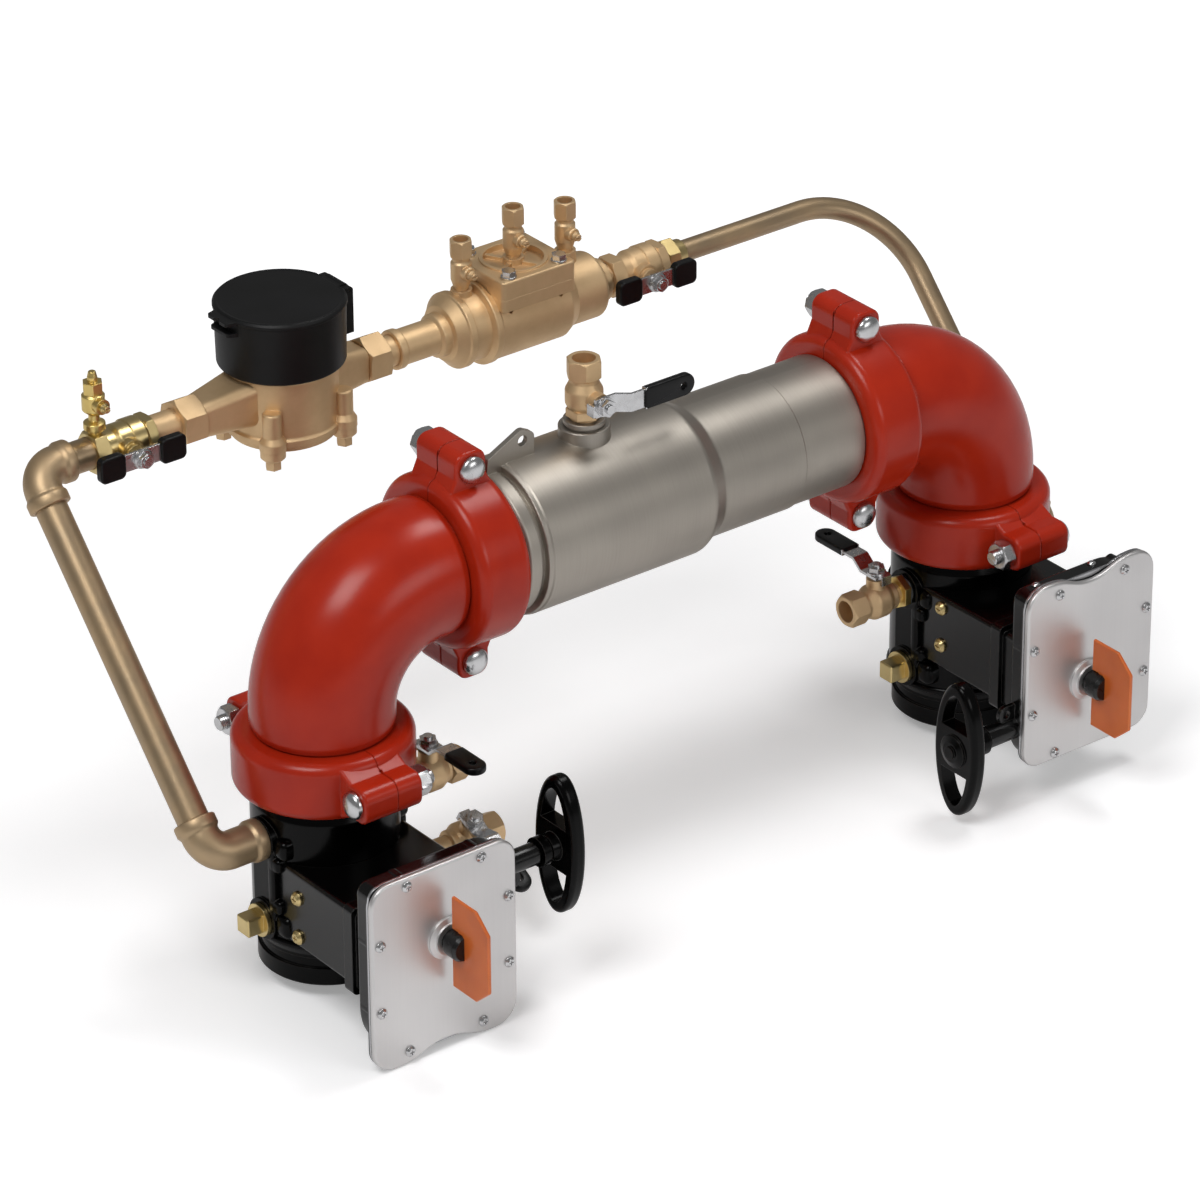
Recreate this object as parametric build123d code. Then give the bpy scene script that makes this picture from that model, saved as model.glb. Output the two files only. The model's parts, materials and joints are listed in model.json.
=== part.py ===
from build123d import *
import os
from math import cos, hypot, radians

# Double check detector assembly for a fire main, with both ends facing down.
# Water rises through the inlet butterfly valve, turns into the stainless check
# housing, passes two swing checks and falls through the outlet butterfly valve.
# A small bypass with its own meter and double check runs behind the main line.
# Millimetres. The origin is the middle of the lower grooved end of the inlet
# valve; +X runs along the housing to the outlet, +Y to the bypass, +Z up.

# Fits between pieces
FIT = 0.2            # between pieces that stand still
RUN = 0.05           # radial play of a shaft in its bearing
CLEAR = 0.4          # between pieces that move past each other
SEAT = 0.3           # a curved moving piece from what it rests on

# Main line, nominal 100 mm grooved pipe
PIPE_R = 57.15       # 114.3 mm outside diameter
GROOVE_R = 55.04
LIP = 15.9           # pipe end to groove
GROOVE_WIDTH = 9.5
BORE_R = 50.0
JOINT_GAP = 3.0      # between two grooved ends
AXIS_SPACING = 666.0 # inlet valve axis to outlet valve axis
STEM_TO_LOWER_END = 89.5
STEM_TO_UPPER_END = 93.5
ELBOW_REACH = 130.0  # centre to grooved end
ELBOW_BEND_R = 92.0
ELBOW_R = 58.6       # outside, between the grooved ends

STEM_Z = STEM_TO_LOWER_END
LOWER_JOINT_Z = STEM_Z + STEM_TO_UPPER_END + JOINT_GAP / 2
RUN_Z = LOWER_JOINT_Z + JOINT_GAP / 2 + ELBOW_REACH
SIDE_JOINT_X = ELBOW_REACH + JOINT_GAP / 2
HOUSING_START = SIDE_JOINT_X + JOINT_GAP / 2
HOUSING_END = AXIS_SPACING - HOUSING_START

# Grooved couplings
COUPLING_R = 73.5
COUPLING_WIDTH = 50.0
COUPLING_ROUND = 9.0
SPLIT = 0.6          # gap between the two halves
KEY_WIDTH = 7.3
GASKET_R = 66.5
BOLT_OFFSET = 85.5   # bolt axis from the pipe axis
BOLT_R = 6.35
PAD_HALF = 15.0
PAD_ROUND = 10.0
PAD_ROOT = 23.5
PAD_EDGE = 2.5
SEAM_MOUTH = 3.0     # opening of the split at the outer faces of the pads
PADS_UPRIGHT = (31.0, 24.0)    # head side and nut side, from the joint's middle
PADS_LEVEL = (24.0, 29.0)
HEAD_R = 11.5
HEAD_HEIGHT = 8.0
NUT_WIDTH = 22.0
NUT_HEIGHT = 12.0
BOLT_SPARE = 6.0     # thread showing past the nut

# Butterfly valves
BARREL_R = 60.0
PORT_Z = 37.0        # side ports above and below the stem
PORT_FACE = 64.0
PORT_BOSS_R = 17.5
PORT_R = 12.0
STEM_R = 9.0
DISC_THICKNESS = 7.0
SEAT_RING_R = 53.0
SEAT_RING_HALF = 12.0
TRUNNION_FACE = 76.0

# Gear operator, sizes from the stem axis with the valve upright
COVER_FRONT = 162.0  # outer face of the cover plate
COVER_THICKNESS = 4.0
COVER_RIM = 2.4      # rounding of the plate's front edge
COVER_SEAL = 1.5
CASE_BACK = 139.0
CASE_WALL = 5.0
CASE_ROUND = 4.0
CASE_BOTTOM = -98.5
CASE_SWEEP = 50.0    # large corner round the worm wheel
CASE_SHOULDER = 30.0    # top corner over the worm
SCREW_BOSS_R = 6.8
SCREW_BOSS_DEPTH = 14.0
COVER_LEFT = -72.4
COVER_RIGHT = 67.6
COVER_TOP = 67.0
COVER_BOTTOM = -102.0
COVER_CREST = -92.5
NECK_HALF = 58.5
NECK_BOTTOM = -46.0
NECK_TOP = 23.0
NECK_WALL = 5.0
NECK_FRONT = 131.0   # end of the hollow in the neck
COLLAR_FRONT = 121.0
COLLAR_BACK = 110.0
BRACKET_SCREW_Y = -43.0
BRACKET_SCREW_Z = (0, -35.5)
DRAIN_X = (46.5, -15.0)    # two small screws under the case
DRAIN_Y = -146.5
WORM_Y = -145.0
WORM_Z = 31.5
WORM_WHEEL_R = 24.0
WORM_WHEEL_WIDTH = 9.0
WORM_R = 7.1
WORM_SHAFT_R = 5.5
WORM_BOSS_R = 9.5
WORM_BOSS_END = 97.0
WHEEL_CENTRE_X = 124.0
WHEEL_HALF_HEIGHT = 62.0
WHEEL_HALF_WIDTH = 26.0
WHEEL_THICKNESS = 14.0
WHEEL_RIM = 10.0
FLAG_HALF = 41.0
FLAG_NEAR = 170.5
FLAG_FAR = 217.0
FLAG_THICKNESS = 3.2
HUB_R = 12.0
HUB_FRONT = 186.0
BUSH_R = 18.5
BUSH_HEIGHT = 5.0

# Stainless check housing
HOUSING_R = 66.0
HOUSING_WALL = 4.0
NECK_R = 61.0
BODY_START = 179.0
STEP_START = 346.0
STEP_END = 361.0
OUTLET_R = 58.4
WELD_X = 445.0
FERRULE_X = 262.0
FERRULE_R = 21.3
FERRULE_TOP = 15.0   # above the housing
CHECK_X = (212.0, 392.0)
SEAT_OPENING_R = 36.0
CLAPPER_R = 42.0
CLAPPER_THICKNESS = 6.0
HINGE_RISE = 45.0
LUG_HALF = 4.6       # of the hinge lugs, which the clapper's top edge passes at 7
HINGE_PIN_R = 3.0

# Bypass line, nominal 20 mm
BYPASS_Y = 229.0
BYPASS_Z = STEM_Z + 285.0
BYPASS_PIPE_R = 13.35
TUBE_R = 9.5
INLET_DROP_X = -111.0
OUTLET_DROP_X = AXIS_SPACING + 94.0
FITTING_REACH = 32.0
FITTING_R = 16.4
FITTING_DEPTH = 13.0
RETURN_BEND_R = 88.0
BYPASS_HEX = 32.0
INLET_BALL_X = -31.0
OUTLET_BALL_X = 490.0
BALL_HALF = 29.0
TEE_HALF = 41.0
TEE_OFFSET = 33.0    # handle plate from the bypass axis, towards the front

# Meter
METER_X = 129.0
METER_R = 46.0
METER_BOTTOM = -31.0
METER_TOP = 27.0
SPUD_START = 44.0
SPUD_END = 205.0
METER_BOSS_R = 9.0
METER_EAR_R = 11.0    # widening of the bosses at the joint
METER_BOSS_CIRCLE = 50.0
REGISTER_R = 54.0
REGISTER_HEIGHT = 50.0
LID_THICKNESS = 5.0
LID_HINGE_X = 55.5   # from the register axis

# Bypass double check
CHECK_BODY_START = 238.0
CHECK_BODY_END = 455.0
DRUM_R = 35.0
BONNET_X = 365.0
BONNET_LENGTH = 76.0
BONNET_WIDTH = 72.0
BONNET_TOP = 47.0    # above the bypass axis
BONNET_SEAM = 31.0
BONNET_UNDERSIDE = 20.0
TEST_COCK_PITCH = 54.0

# Lever cocks
COCK_R = 13.0
COCK_LENGTH = 50.0
COCK_STEM = 22.0     # boss height above the axis of the flow
SPINDLE_R = 4.0      # spindles of cocks and ball valves
STEM_DEPTH = 9.0     # spindle inside its boss
SHORT_LEVER = 71.0
LONG_LEVER = 83.0
LOW_LEVER = 76.0
LEVER_WIDTH = 16.0
INLET_COCK_OFFSET = 38.0   # stem of the upper inlet cock from the port face
LOW_COCK_OFFSET = 72.0
LOW_COCK_TILT = 30.0
OUTLET_COCK_OFFSET = 31.0
HOUSING_COCK_OFFSET = 19.5


def outline(points):
    """Closed outline from (x, y) corners, or (x, y, radius) where a corner is round."""
    face = make_face(Polyline(*[p[:2] for p in points], close=True))
    for radius in sorted({p[2] for p in points if len(p) == 3}):
        spots = [p for p in points if len(p) == 3 and p[2] == radius]
        corners = [v for v in face.vertices()
                   if any(hypot(v.X - s[0], v.Y - s[1]) < 1e-5 for s in spots)]
        face = fillet(corners, radius)
    return face


def frame_at(origin, direction, x_dir=None):
    return Plane(origin=origin, x_dir=x_dir, z_dir=direction)


def rod(origin, direction, length, radius):
    return extrude(frame_at(origin, direction) * Circle(radius), length)


def hexagon(origin, direction, length, width, x_dir=None):
    shape = RegularPolygon(width / 2, 6, major_radius=False)
    return extrude(frame_at(origin, direction, x_dir) * shape, length)


def turned_hexagon(origin, direction, length, width, x_dir=None, slope=0.5):
    """Hexagon whose corners are cut back by a cone at both ends, as on a turned nut."""
    corner = width / 2 / cos(radians(30))
    cut = corner - width / 2 + 0.2
    cone = turning([(0, 0), (width / 2 - 0.2, 0), (corner + 0.01, cut * slope), (corner + 0.01, length - cut * slope),
                    (width / 2 - 0.2, length), (0, length)], origin, direction)
    return hexagon(origin, direction, length, width, x_dir) & cone


def block(x, y, z):
    """Box between two limits along each axis."""
    size = [b - a for a, b in (x, y, z)]
    return Pos(*[(a + b) / 2 for a, b in (x, y, z)]) * Box(*size)


def turning(points, origin=(0, 0, 0), direction=(0, 0, 1)):
    """Solid of revolution from (radius, height) corners about a line."""
    solid = revolve(Plane.XZ * outline(points), Axis.Z)
    return frame_at(origin, direction).location * solid


def solids(*shapes):
    """All separate solids of the given shapes in one list."""
    return [s for shape in shapes for s in shape.solids()]


def write(name, *shapes):
    group = solids(*shapes)
    shape = group[0] if len(group) == 1 else Compound(children=group)
    shape.label = name
    export_step(shape, f"parts/{name}.step")


def grooved_end(sign, end):
    """Outer profile corners of a grooved pipe end, from the end inwards."""
    marks = [(PIPE_R - 1.5, 0), (PIPE_R, 1.5), (PIPE_R, LIP), (GROOVE_R, LIP),
             (GROOVE_R, LIP + GROOVE_WIDTH), (PIPE_R, LIP + GROOVE_WIDTH)]
    return [(r, end + sign * h) for r, h in marks]


# Grooved couplings, in a frame with the pipe along Z and the bolts along X

def coupling_pad(pads, side, head_side):
    """Bolt pads of both halves on one side, with a round tip."""
    tip = BOLT_OFFSET + PAD_HALF
    face = outline([(PIPE_R + 4, -PAD_ROOT), (BOLT_OFFSET - 6, -PAD_HALF), (tip, -PAD_HALF, PAD_ROUND),
                    (tip, PAD_HALF, PAD_ROUND), (BOLT_OFFSET - 6, PAD_HALF), (PIPE_R + 4, PAD_ROOT)])
    plane = frame_at((head_side * pads[0], 0, 0), (-head_side, 0, 0), (0, side, 0))
    pad = extrude(plane * face, sum(pads))
    ends = pad.faces().sort_by(Axis.X)
    return fillet(ends[0].edges() + ends[-1].edges(), PAD_EDGE)


def head_sides(alternate):
    """Side of the pipe and side of the bolt head, for both bolts."""
    return [(-1, -1), (1, 1 if alternate else -1)]


def coupling(pads, alternate):
    """Two bolted halves: keys in both grooves, cavity for the gasket."""
    half = COUPLING_WIDTH / 2
    ring = turning([(PIPE_R, -half), (COUPLING_R, -half, COUPLING_ROUND),
                    (COUPLING_R, half, COUPLING_ROUND), (PIPE_R, half)])
    body = ring + [coupling_pad(pads, *sides) for sides in head_sides(alternate)]
    key_start = half - KEY_WIDTH
    bore = turning([(0, -half - 1), (PIPE_R + CLEAR, -half - 1), (PIPE_R + CLEAR, half + 1), (0, half + 1)])
    keys = [turning([(GROOVE_R + FIT, a), (PIPE_R + CLEAR + 1, a), (PIPE_R + CLEAR + 1, b),
                     (GROOVE_R + FIT, b)])
            for a, b in ((-half, -key_start), (key_start, half))]
    cavity = rod((0, 0, -key_start), (0, 0, 1), 2 * key_start, GASKET_R + FIT)
    body = body - bore + keys - cavity
    for side in (-1, 1):
        body -= rod((-60, side * BOLT_OFFSET, 0), (1, 0, 0), 120, BOLT_R + CLEAR)
    body -= Box(SPLIT, 4 * COUPLING_R, 2 * COUPLING_WIDTH)
    for side in (-1, 1):
        body -= seam_mouth(side)
    return body


def seam_mouth(side):
    """Widening of the split over the faces and the tip of one side's pads."""
    half, tip = PAD_HALF + 1, BOLT_OFFSET + PAD_HALF + 1
    groove = outline([(0, -1.5), (SEAM_MOUTH / 2, 1.5), (-SEAM_MOUTH / 2, 1.5)])
    parts = []
    for face in (-1, 1):
        start = frame_at((0, side * (COUPLING_R + 2), face * (half - 1.5)), (0, side, 0), (face, 0, 0))
        parts.append(extrude(start * groove, 30))
    return parts


def gasket():
    """C-shaped rubber ring that bridges the gap of the two pipe ends."""
    half = COUPLING_WIDTH / 2 - KEY_WIDTH - FIT
    return turning([(PIPE_R + FIT, -half), (GASKET_R, -half), (GASKET_R, half), (PIPE_R + FIT, half),
                    (PIPE_R + FIT, 5), (GASKET_R - 3, 5), (GASKET_R - 3, -5), (PIPE_R + FIT, -5)])


def coupling_fasteners(pads, alternate):
    """Domed track bolts with hex nuts."""
    head_pad, nut_pad = pads
    pieces = []
    for side, head_side in head_sides(alternate):
        y = side * BOLT_OFFSET
        under_head = (head_side * (head_pad + FIT), y, 0)
        head = turning([(0, 0), (HEAD_R, 0), (HEAD_R, 2), (HEAD_R - 4, HEAD_HEIGHT, 5), (0, HEAD_HEIGHT)],
                       under_head, (head_side, 0, 0))
        length = head_pad + nut_pad + 2 * FIT + NUT_HEIGHT + BOLT_SPARE
        bolt = head + rod(under_head, (-head_side, 0, 0), length, BOLT_R)
        nut = turned_hexagon((-head_side * (nut_pad + FIT), y, 0), (-head_side, 0, 0), NUT_HEIGHT, NUT_WIDTH)
        nut = nut - rod((0, y, 0), (-head_side, 0, 0), 100, BOLT_R + FIT / 2)
        pieces += [bolt, nut]
    return pieces


def joint_places():
    """Name, place, pads and whether the bolts alternate, for the four couplings."""
    level = Plane(origin=(SIDE_JOINT_X, 0, RUN_Z), x_dir=(0, 1, 0), z_dir=(1, 0, 0)).location
    far = Plane(origin=(AXIS_SPACING - SIDE_JOINT_X, 0, RUN_Z), x_dir=(0, 1, 0), z_dir=(1, 0, 0)).location
    upright = Pos(0, 0, LOWER_JOINT_Z)
    turned = Pos(AXIS_SPACING, 0, LOWER_JOINT_Z) * Rot(0, 180, 0)
    return [("inlet_lower_coupling", upright, PADS_UPRIGHT, True),
            ("inlet_upper_coupling", level, PADS_LEVEL, False),
            ("outlet_upper_coupling", far, PADS_LEVEL, False),
            ("outlet_lower_coupling", turned, PADS_UPRIGHT, True)]


# Elbows

def elbow():
    """Ninety degree bend from a leg that points down to one that points along +X."""
    straight = ELBOW_REACH - ELBOW_BEND_R
    axis = Axis((ELBOW_BEND_R, 0, -ELBOW_BEND_R), (0, 1, 0))
    start = frame_at((0, 0, -ELBOW_BEND_R), (0, 0, 1))
    bend = revolve(start * Circle(ELBOW_R), axis, 90)
    hole = revolve(start * Circle(BORE_R), axis, 90)
    leg = turning([(0, 0)] + grooved_end(1, 0) + [(PIPE_R, LIP + GROOVE_WIDTH + 1), (ELBOW_R, straight - 8, 6),
                                                 (ELBOW_R, straight), (0, straight)])
    down = Pos(0, 0, -ELBOW_REACH) * leg
    side = frame_at((ELBOW_REACH, 0, 0), (-1, 0, 0)).location * leg
    hole += [rod((0, 0, -ELBOW_REACH - 1), (0, 0, 1), straight + 1, BORE_R),
             rod((ELBOW_REACH + 1, 0, 0), (-1, 0, 0), straight + 1, BORE_R)]
    return bend + down + side - hole


# Butterfly valve, in a frame with its stem axis along Y through the origin

def valve_body(turned):
    """Barrel with grooved ends, four side ports, trunnion and the gear block."""
    low, high = STEM_TO_LOWER_END, STEM_TO_UPPER_END
    shoulder = LIP + GROOVE_WIDTH
    lower = grooved_end(1, -low) + [(PIPE_R, shoulder + 3 - low), (BARREL_R, shoulder + 9 - low, 4)]
    upper = grooved_end(-1, high) + [(PIPE_R, high - shoulder - 3), (BARREL_R, high - shoulder - 9, 4)]
    barrel = turning([(0, -low)] + lower + upper[::-1] + [(0, high)])
    for side in (-1, 1):
        rib = block((BARREL_R - 12, BARREL_R + 1.5), (-13, 13), (-PORT_Z, PORT_Z))
        ports = [rod((BARREL_R - 16, 0, z), (1, 0, 0), PORT_FACE - BARREL_R + 16, PORT_BOSS_R)
                 for z in (-PORT_Z, PORT_Z)]
        flank = rib + ports
        barrel += flank if side > 0 else Rot(0, 0, 180) * flank
    barrel += rod((0, 30, 0), (0, 1, 0), TRUNNION_FACE - 30, STEM_R + 9)
    barrel += turn(block((-NECK_HALF + NECK_WALL + FIT, NECK_HALF - NECK_WALL - FIT), (-BARREL_R - 3, -24),
                         (NECK_BOTTOM + NECK_WALL + FIT, NECK_TOP - NECK_WALL - FIT)), turned)
    barrel -= rod((0, 0, -low - 1), (0, 0, 1), low + high + 2, BORE_R)
    barrel -= rod((0, 0, -SEAT_RING_HALF), (0, 0, 1), 2 * SEAT_RING_HALF, SEAT_RING_R + FIT)
    barrel -= rod((0, -BARREL_R - 4, 0), (0, 1, 0), BARREL_R + 4 + TRUNNION_FACE - 8, STEM_R + RUN)
    for side in (-1, 1):
        for z in (-PORT_Z, PORT_Z):
            barrel -= rod((side * (BORE_R - 4), 0, z), (side, 0, 0), 30, PORT_R)
        for z in BRACKET_SCREW_Z:
            barrel -= turn(rod((side * 30, BRACKET_SCREW_Y, z), (side, 0, 0), 40, 2.6), turned)
    return barrel


def turn(shape, turned):
    """The outlet operator is the inlet one turned half round its stem."""
    return Rot(0, 180, 0) * shape if turned else shape


def seat_ring():
    ring = rod((0, 0, -SEAT_RING_HALF + FIT), (0, 0, 1), 2 * (SEAT_RING_HALF - FIT), SEAT_RING_R)
    ring -= rod((0, 0, -SEAT_RING_HALF), (0, 0, 1), 2 * SEAT_RING_HALF, BORE_R)
    return ring - rod((0, -60, 0), (0, 1, 0), 120, STEM_R + SEAT)


def disc():
    """Valve disc, open: its plane holds the flow axis and the stem."""
    radius = BORE_R - 0.7
    plate = rod((-DISC_THICKNESS / 2, 0, 0), (1, 0, 0), DISC_THICKNESS, radius)
    hub = rod((0, -radius + 3, 0), (0, 1, 0), 2 * radius - 6, STEM_R + 4)
    return plate + hub - rod((0, -60, 0), (0, 1, 0), 120, STEM_R + RUN)


def stem():
    """Stem with its worm wheel and the hub that holds the flag."""
    front = HUB_FRONT - 14
    shaft = rod((0, -front, 0), (0, 1, 0), front + TRUNNION_FACE - 9, STEM_R)
    hub = turning([(0, 0), (HUB_R, 0), (HUB_R, HUB_FRONT - front - 3), (HUB_R - 2, HUB_FRONT - front),
                   (0, HUB_FRONT - front)], (0, -front, 0), (0, -1, 0))
    slot = block((-FLAG_THICKNESS / 2 - RUN, FLAG_THICKNESS / 2 + RUN), (-HUB_FRONT - 1, -HUB_FRONT + 9), (-20, 20))
    return [shaft + hub - slot, worm_wheel()]


def worm_wheel():
    y = WORM_Y + WORM_WHEEL_WIDTH / 2
    wheel = rod((0, y, 0), (0, -1, 0), WORM_WHEEL_WIDTH, WORM_WHEEL_R)
    wheel -= rod((0, y + 1, 0), (0, -1, 0), WORM_WHEEL_WIDTH + 2, STEM_R + FIT / 2)
    return wheel


def flag():
    """Thin plate, parallel to the pipe when the valve is open."""
    cut = 15
    face = outline([(FLAG_NEAR, -FLAG_HALF), (FLAG_FAR - 17, -FLAG_HALF, 2), (FLAG_FAR, -FLAG_HALF + cut, 3),
                    (FLAG_FAR, FLAG_HALF - cut, 3), (FLAG_FAR - 17, FLAG_HALF, 2), (FLAG_NEAR, FLAG_HALF),
                    (FLAG_NEAR, HUB_R + CLEAR), (HUB_FRONT - 8, HUB_R + CLEAR), (HUB_FRONT - 8, -HUB_R - CLEAR),
                    (FLAG_NEAR, -HUB_R - CLEAR)])
    plane = frame_at((-FLAG_THICKNESS / 2, 0, 0), (1, 0, 0), (0, -1, 0))
    plate = extrude(plane * face, FLAG_THICKNESS)
    outer = [e for e in plate.edges() if e.center().Y < -FLAG_NEAR - 10 and abs(e.center().X) > FLAG_THICKNESS / 3]
    return fillet(outer, FLAG_THICKNESS * 0.4)


def cover_outline(inset=0.0):
    """Front outline of the operator: round corners and a wavy lower edge."""
    left, right, top = COVER_LEFT + inset, COVER_RIGHT - inset, COVER_TOP - inset
    low, crest = COVER_BOTTOM + inset, COVER_CREST + inset
    middle = (left + right) / 2
    points = [(right - 26, low), (middle, crest), (left + 26, low)]
    arcs = []
    for a, b in ((points[0], points[1]), (points[1], points[2])):
        half = ((a[0] + b[0]) / 2, (a[1] + b[1]) / 2)
        arcs += [TangentArc(a, half, tangent=(-1, 0)), TangentArc(b, half, tangent=(1, 0))]
    corners = [(left, low), (left, top), (right, top), (right, low)]
    rest = Polyline(points[2], *corners, points[0])
    face = make_face(Curve() + arcs + [rest])
    for corner, radius in zip(corners, (21, 18, 18, 21)):
        spot = [v for v in face.vertices() if hypot(v.X - corner[0], v.Y - corner[1]) < 1e-4]
        face = fillet(spot, max(radius - inset, 2))
    return face


def operator_plane(y):
    """Plane that faces the front, its X along +X and its Y along +Z."""
    return Plane(origin=(0, y, 0), x_dir=(1, 0, 0), z_dir=(0, -1, 0))


def cover_screw_places():
    middle_x, middle_z = (COVER_LEFT + COVER_RIGHT) / 2, -15.2
    places = [(sx * 35.9, sz * 75.05) for sx in (-1, 1) for sz in (-1, 1)]
    places += [(sx * 62.1, sz * 30.4) for sx in (-1, 1) for sz in (-1, 1)]
    return [(middle_x + x, middle_z + z) for x, z in places]


def case_outline(inset):
    """Outline of the case behind its flange, with two large corners."""
    left, right = COVER_LEFT + inset, COVER_RIGHT - inset
    top, bottom = COVER_TOP - inset, CASE_BOTTOM + inset
    corner = max(12 - inset, 3)
    return outline([(left, bottom, CASE_SWEEP - inset), (left, top, corner),
                    (right, top, CASE_SHOULDER - inset), (right, bottom, corner)])


def gear_housing():
    """Case behind the cover, neck that slides over the valve, worm boss and seal lug."""
    case_front = COVER_FRONT - COVER_THICKNESS - COVER_SEAL
    case = extrude(operator_plane(-CASE_BACK) * case_outline(1.5), case_front - CASE_BACK)
    case = fillet(case.faces().sort_by(Axis.Y)[-1].edges(), CASE_ROUND)
    flange = extrude(operator_plane(-case_front + 3) * cover_outline(0.5), 3)
    neck = block((-NECK_HALF, NECK_HALF), (-CASE_BACK - 2, -12), (NECK_BOTTOM, NECK_TOP))
    neck = fillet(neck.edges().filter_by(Axis.Y), 4)
    collar = block((-NECK_HALF - 4, NECK_HALF + 4), (-COLLAR_FRONT, -COLLAR_BACK), (NECK_BOTTOM - 5, NECK_TOP + 5))
    collar = fillet(collar.edges().filter_by(Axis.Y), 5)
    boss = rod((-60, WORM_Y, WORM_Z), (1, 0, 0), 120, WORM_R + 4.4)
    boss += rod((50, WORM_Y, WORM_Z), (1, 0, 0), WORM_BOSS_END - 50, WORM_BOSS_R)
    lug = rod((75, WORM_Y + 2, WORM_Z - 15.5), (0, -1, 0), 4, 8.0)
    lug += block((60, 75), (WORM_Y - 2, WORM_Y + 2), (WORM_Z - 23, WORM_Z - 8))
    body = case + flange + neck + collar + boss + lug
    for x, z in cover_screw_places():
        body += rod((x, -case_front + SCREW_BOSS_DEPTH, z), (0, -1, 0), SCREW_BOSS_DEPTH - 1, SCREW_BOSS_R)
    body -= block((-NECK_HALF + NECK_WALL, NECK_HALF - NECK_WALL), (-NECK_FRONT, 0),
                  (NECK_BOTTOM + NECK_WALL, NECK_TOP - NECK_WALL))
    body -= extrude(operator_plane(-CASE_BACK - CASE_WALL) * case_outline(13), 60)
    body -= rod((0, WORM_Y + WORM_WHEEL_WIDTH / 2 + CLEAR, 0), (0, -1, 0), 40, WORM_WHEEL_R + CLEAR)
    body -= rod((-46, WORM_Y, WORM_Z), (1, 0, 0), 92, WORM_R + CLEAR)
    body -= rod((0, 0, -120), (0, 0, 1), 240, BARREL_R + FIT * 2)
    body -= rod((-50, WORM_Y, WORM_Z), (1, 0, 0), 200, WORM_SHAFT_R + RUN)
    body -= rod((0, 0, 0), (0, -1, 0), 150, STEM_R + RUN)
    body -= rod((75, WORM_Y + 5, WORM_Z - 15.5), (0, -1, 0), 10, 3.6)
    for side in (-1, 1):
        for z in (-PORT_Z, PORT_Z):
            body -= rod((side * 40, 0, z), (side, 0, 0), 60, PORT_BOSS_R + CLEAR)
        for z in BRACKET_SCREW_Z:
            body -= rod((side * 40, BRACKET_SCREW_Y, z), (side, 0, 0), 30, 2.6)
    for x, z in cover_screw_places():
        body -= rod((x, -case_front + 12, z), (0, -1, 0), 20, 2.1)
    for x in DRAIN_X:
        body -= rod((x, DRAIN_Y, CASE_BOTTOM + 8), (0, 0, -1), 10, 2.1)
    return body


def cover_plate():
    plate = extrude(operator_plane(-COVER_FRONT + COVER_THICKNESS) * cover_outline(), COVER_THICKNESS)
    plate = fillet(plate.faces().sort_by(Axis.Y)[0].edges(), COVER_RIM)
    return pierced(plate)


def cover_seal():
    seal = extrude(operator_plane(-COVER_FRONT + COVER_THICKNESS + COVER_SEAL) * cover_outline(1.0), COVER_SEAL)
    return pierced(seal)


def pierced(plate):
    for x, z in cover_screw_places():
        plate -= rod((x, -COVER_FRONT + 20, z), (0, -1, 0), 40, 2.3)
    return plate - rod((0, 0, 0), (0, -1, 0), 200, STEM_R + SEAT)


def bush():
    """Stepped ring round the stem on the cover plate."""
    return turning([(STEM_R + SEAT, 0), (BUSH_R, 0), (BUSH_R, 2, 0.8), (BUSH_R - 4.5, BUSH_HEIGHT - 1.5, 1),
                    (BUSH_R - 4.5, BUSH_HEIGHT), (STEM_R + SEAT, BUSH_HEIGHT)], (0, -COVER_FRONT, 0), (0, -1, 0))


def pan_screw(origin, direction, head_r=4.6, head=3.0, shank_r=2.0, shank=9.0):
    """Pan head screw with a cross recess, its head towards the direction."""
    body = turning([(0, -shank), (shank_r, -shank), (shank_r, 0), (head_r, 0), (head_r, head * 0.4),
                    (head_r * 0.62, head, 1.0), (0, head)], origin, direction)
    place = frame_at(origin, direction).location
    cross = Box(head_r * 0.9, 1.0, 2.4) + Box(1.0, head_r * 0.9, 2.4)
    return body - place * (Pos(0, 0, head) * cross)


def cover_screws():
    screws = [pan_screw((x, -COVER_FRONT, z), (0, -1, 0)) for x, z in cover_screw_places()]
    for x in DRAIN_X:
        screws.append(pan_screw((x, DRAIN_Y, CASE_BOTTOM + 1.5), (0, 0, -1), 3.6, 2.4, shank=5))
    return screws


def bracket_screws():
    return [pan_screw((side * NECK_HALF, BRACKET_SCREW_Y, z), (side, 0, 0), 6.2, 4.2, 2.4, 12)
            for side in (-1, 1) for z in BRACKET_SCREW_Z]


def hand_wheel():
    """Oval wheel with two windows, and its worm shaft."""
    x = WHEEL_CENTRE_X - WHEEL_THICKNESS / 2
    plane = frame_at((x, WORM_Y, WORM_Z), (1, 0, 0), (0, 1, 0))
    rim = extrude(plane * Ellipse(WHEEL_HALF_WIDTH, WHEEL_HALF_HEIGHT), WHEEL_THICKNESS)
    rim = fillet(rim.edges(), 4.5)
    inner = Ellipse(WHEEL_HALF_WIDTH - WHEEL_RIM + 1.5, WHEEL_HALF_HEIGHT - WHEEL_RIM)
    window = extrude(plane * (inner - Rectangle(2 * WHEEL_HALF_WIDTH, 40)), WHEEL_THICKNESS)
    rim -= window
    hub = turning([(0, -24), (12.5, -24), (12.5, -17), (10.5, -14), (14.5, 4, 3), (14.5, 9), (9, 11), (0, 11)],
                  (WHEEL_CENTRE_X, WORM_Y, WORM_Z), (1, 0, 0))
    wheel = rim + hub - rod((0, WORM_Y, WORM_Z), (1, 0, 0), 200, WORM_SHAFT_R + RUN)
    shaft = rod((-45, WORM_Y, WORM_Z), (1, 0, 0), WHEEL_CENTRE_X + 13 + 45, WORM_SHAFT_R)
    shaft += rod((-16, WORM_Y, WORM_Z), (1, 0, 0), 32, WORM_R)
    return [wheel, shaft]


# Check housing

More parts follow.
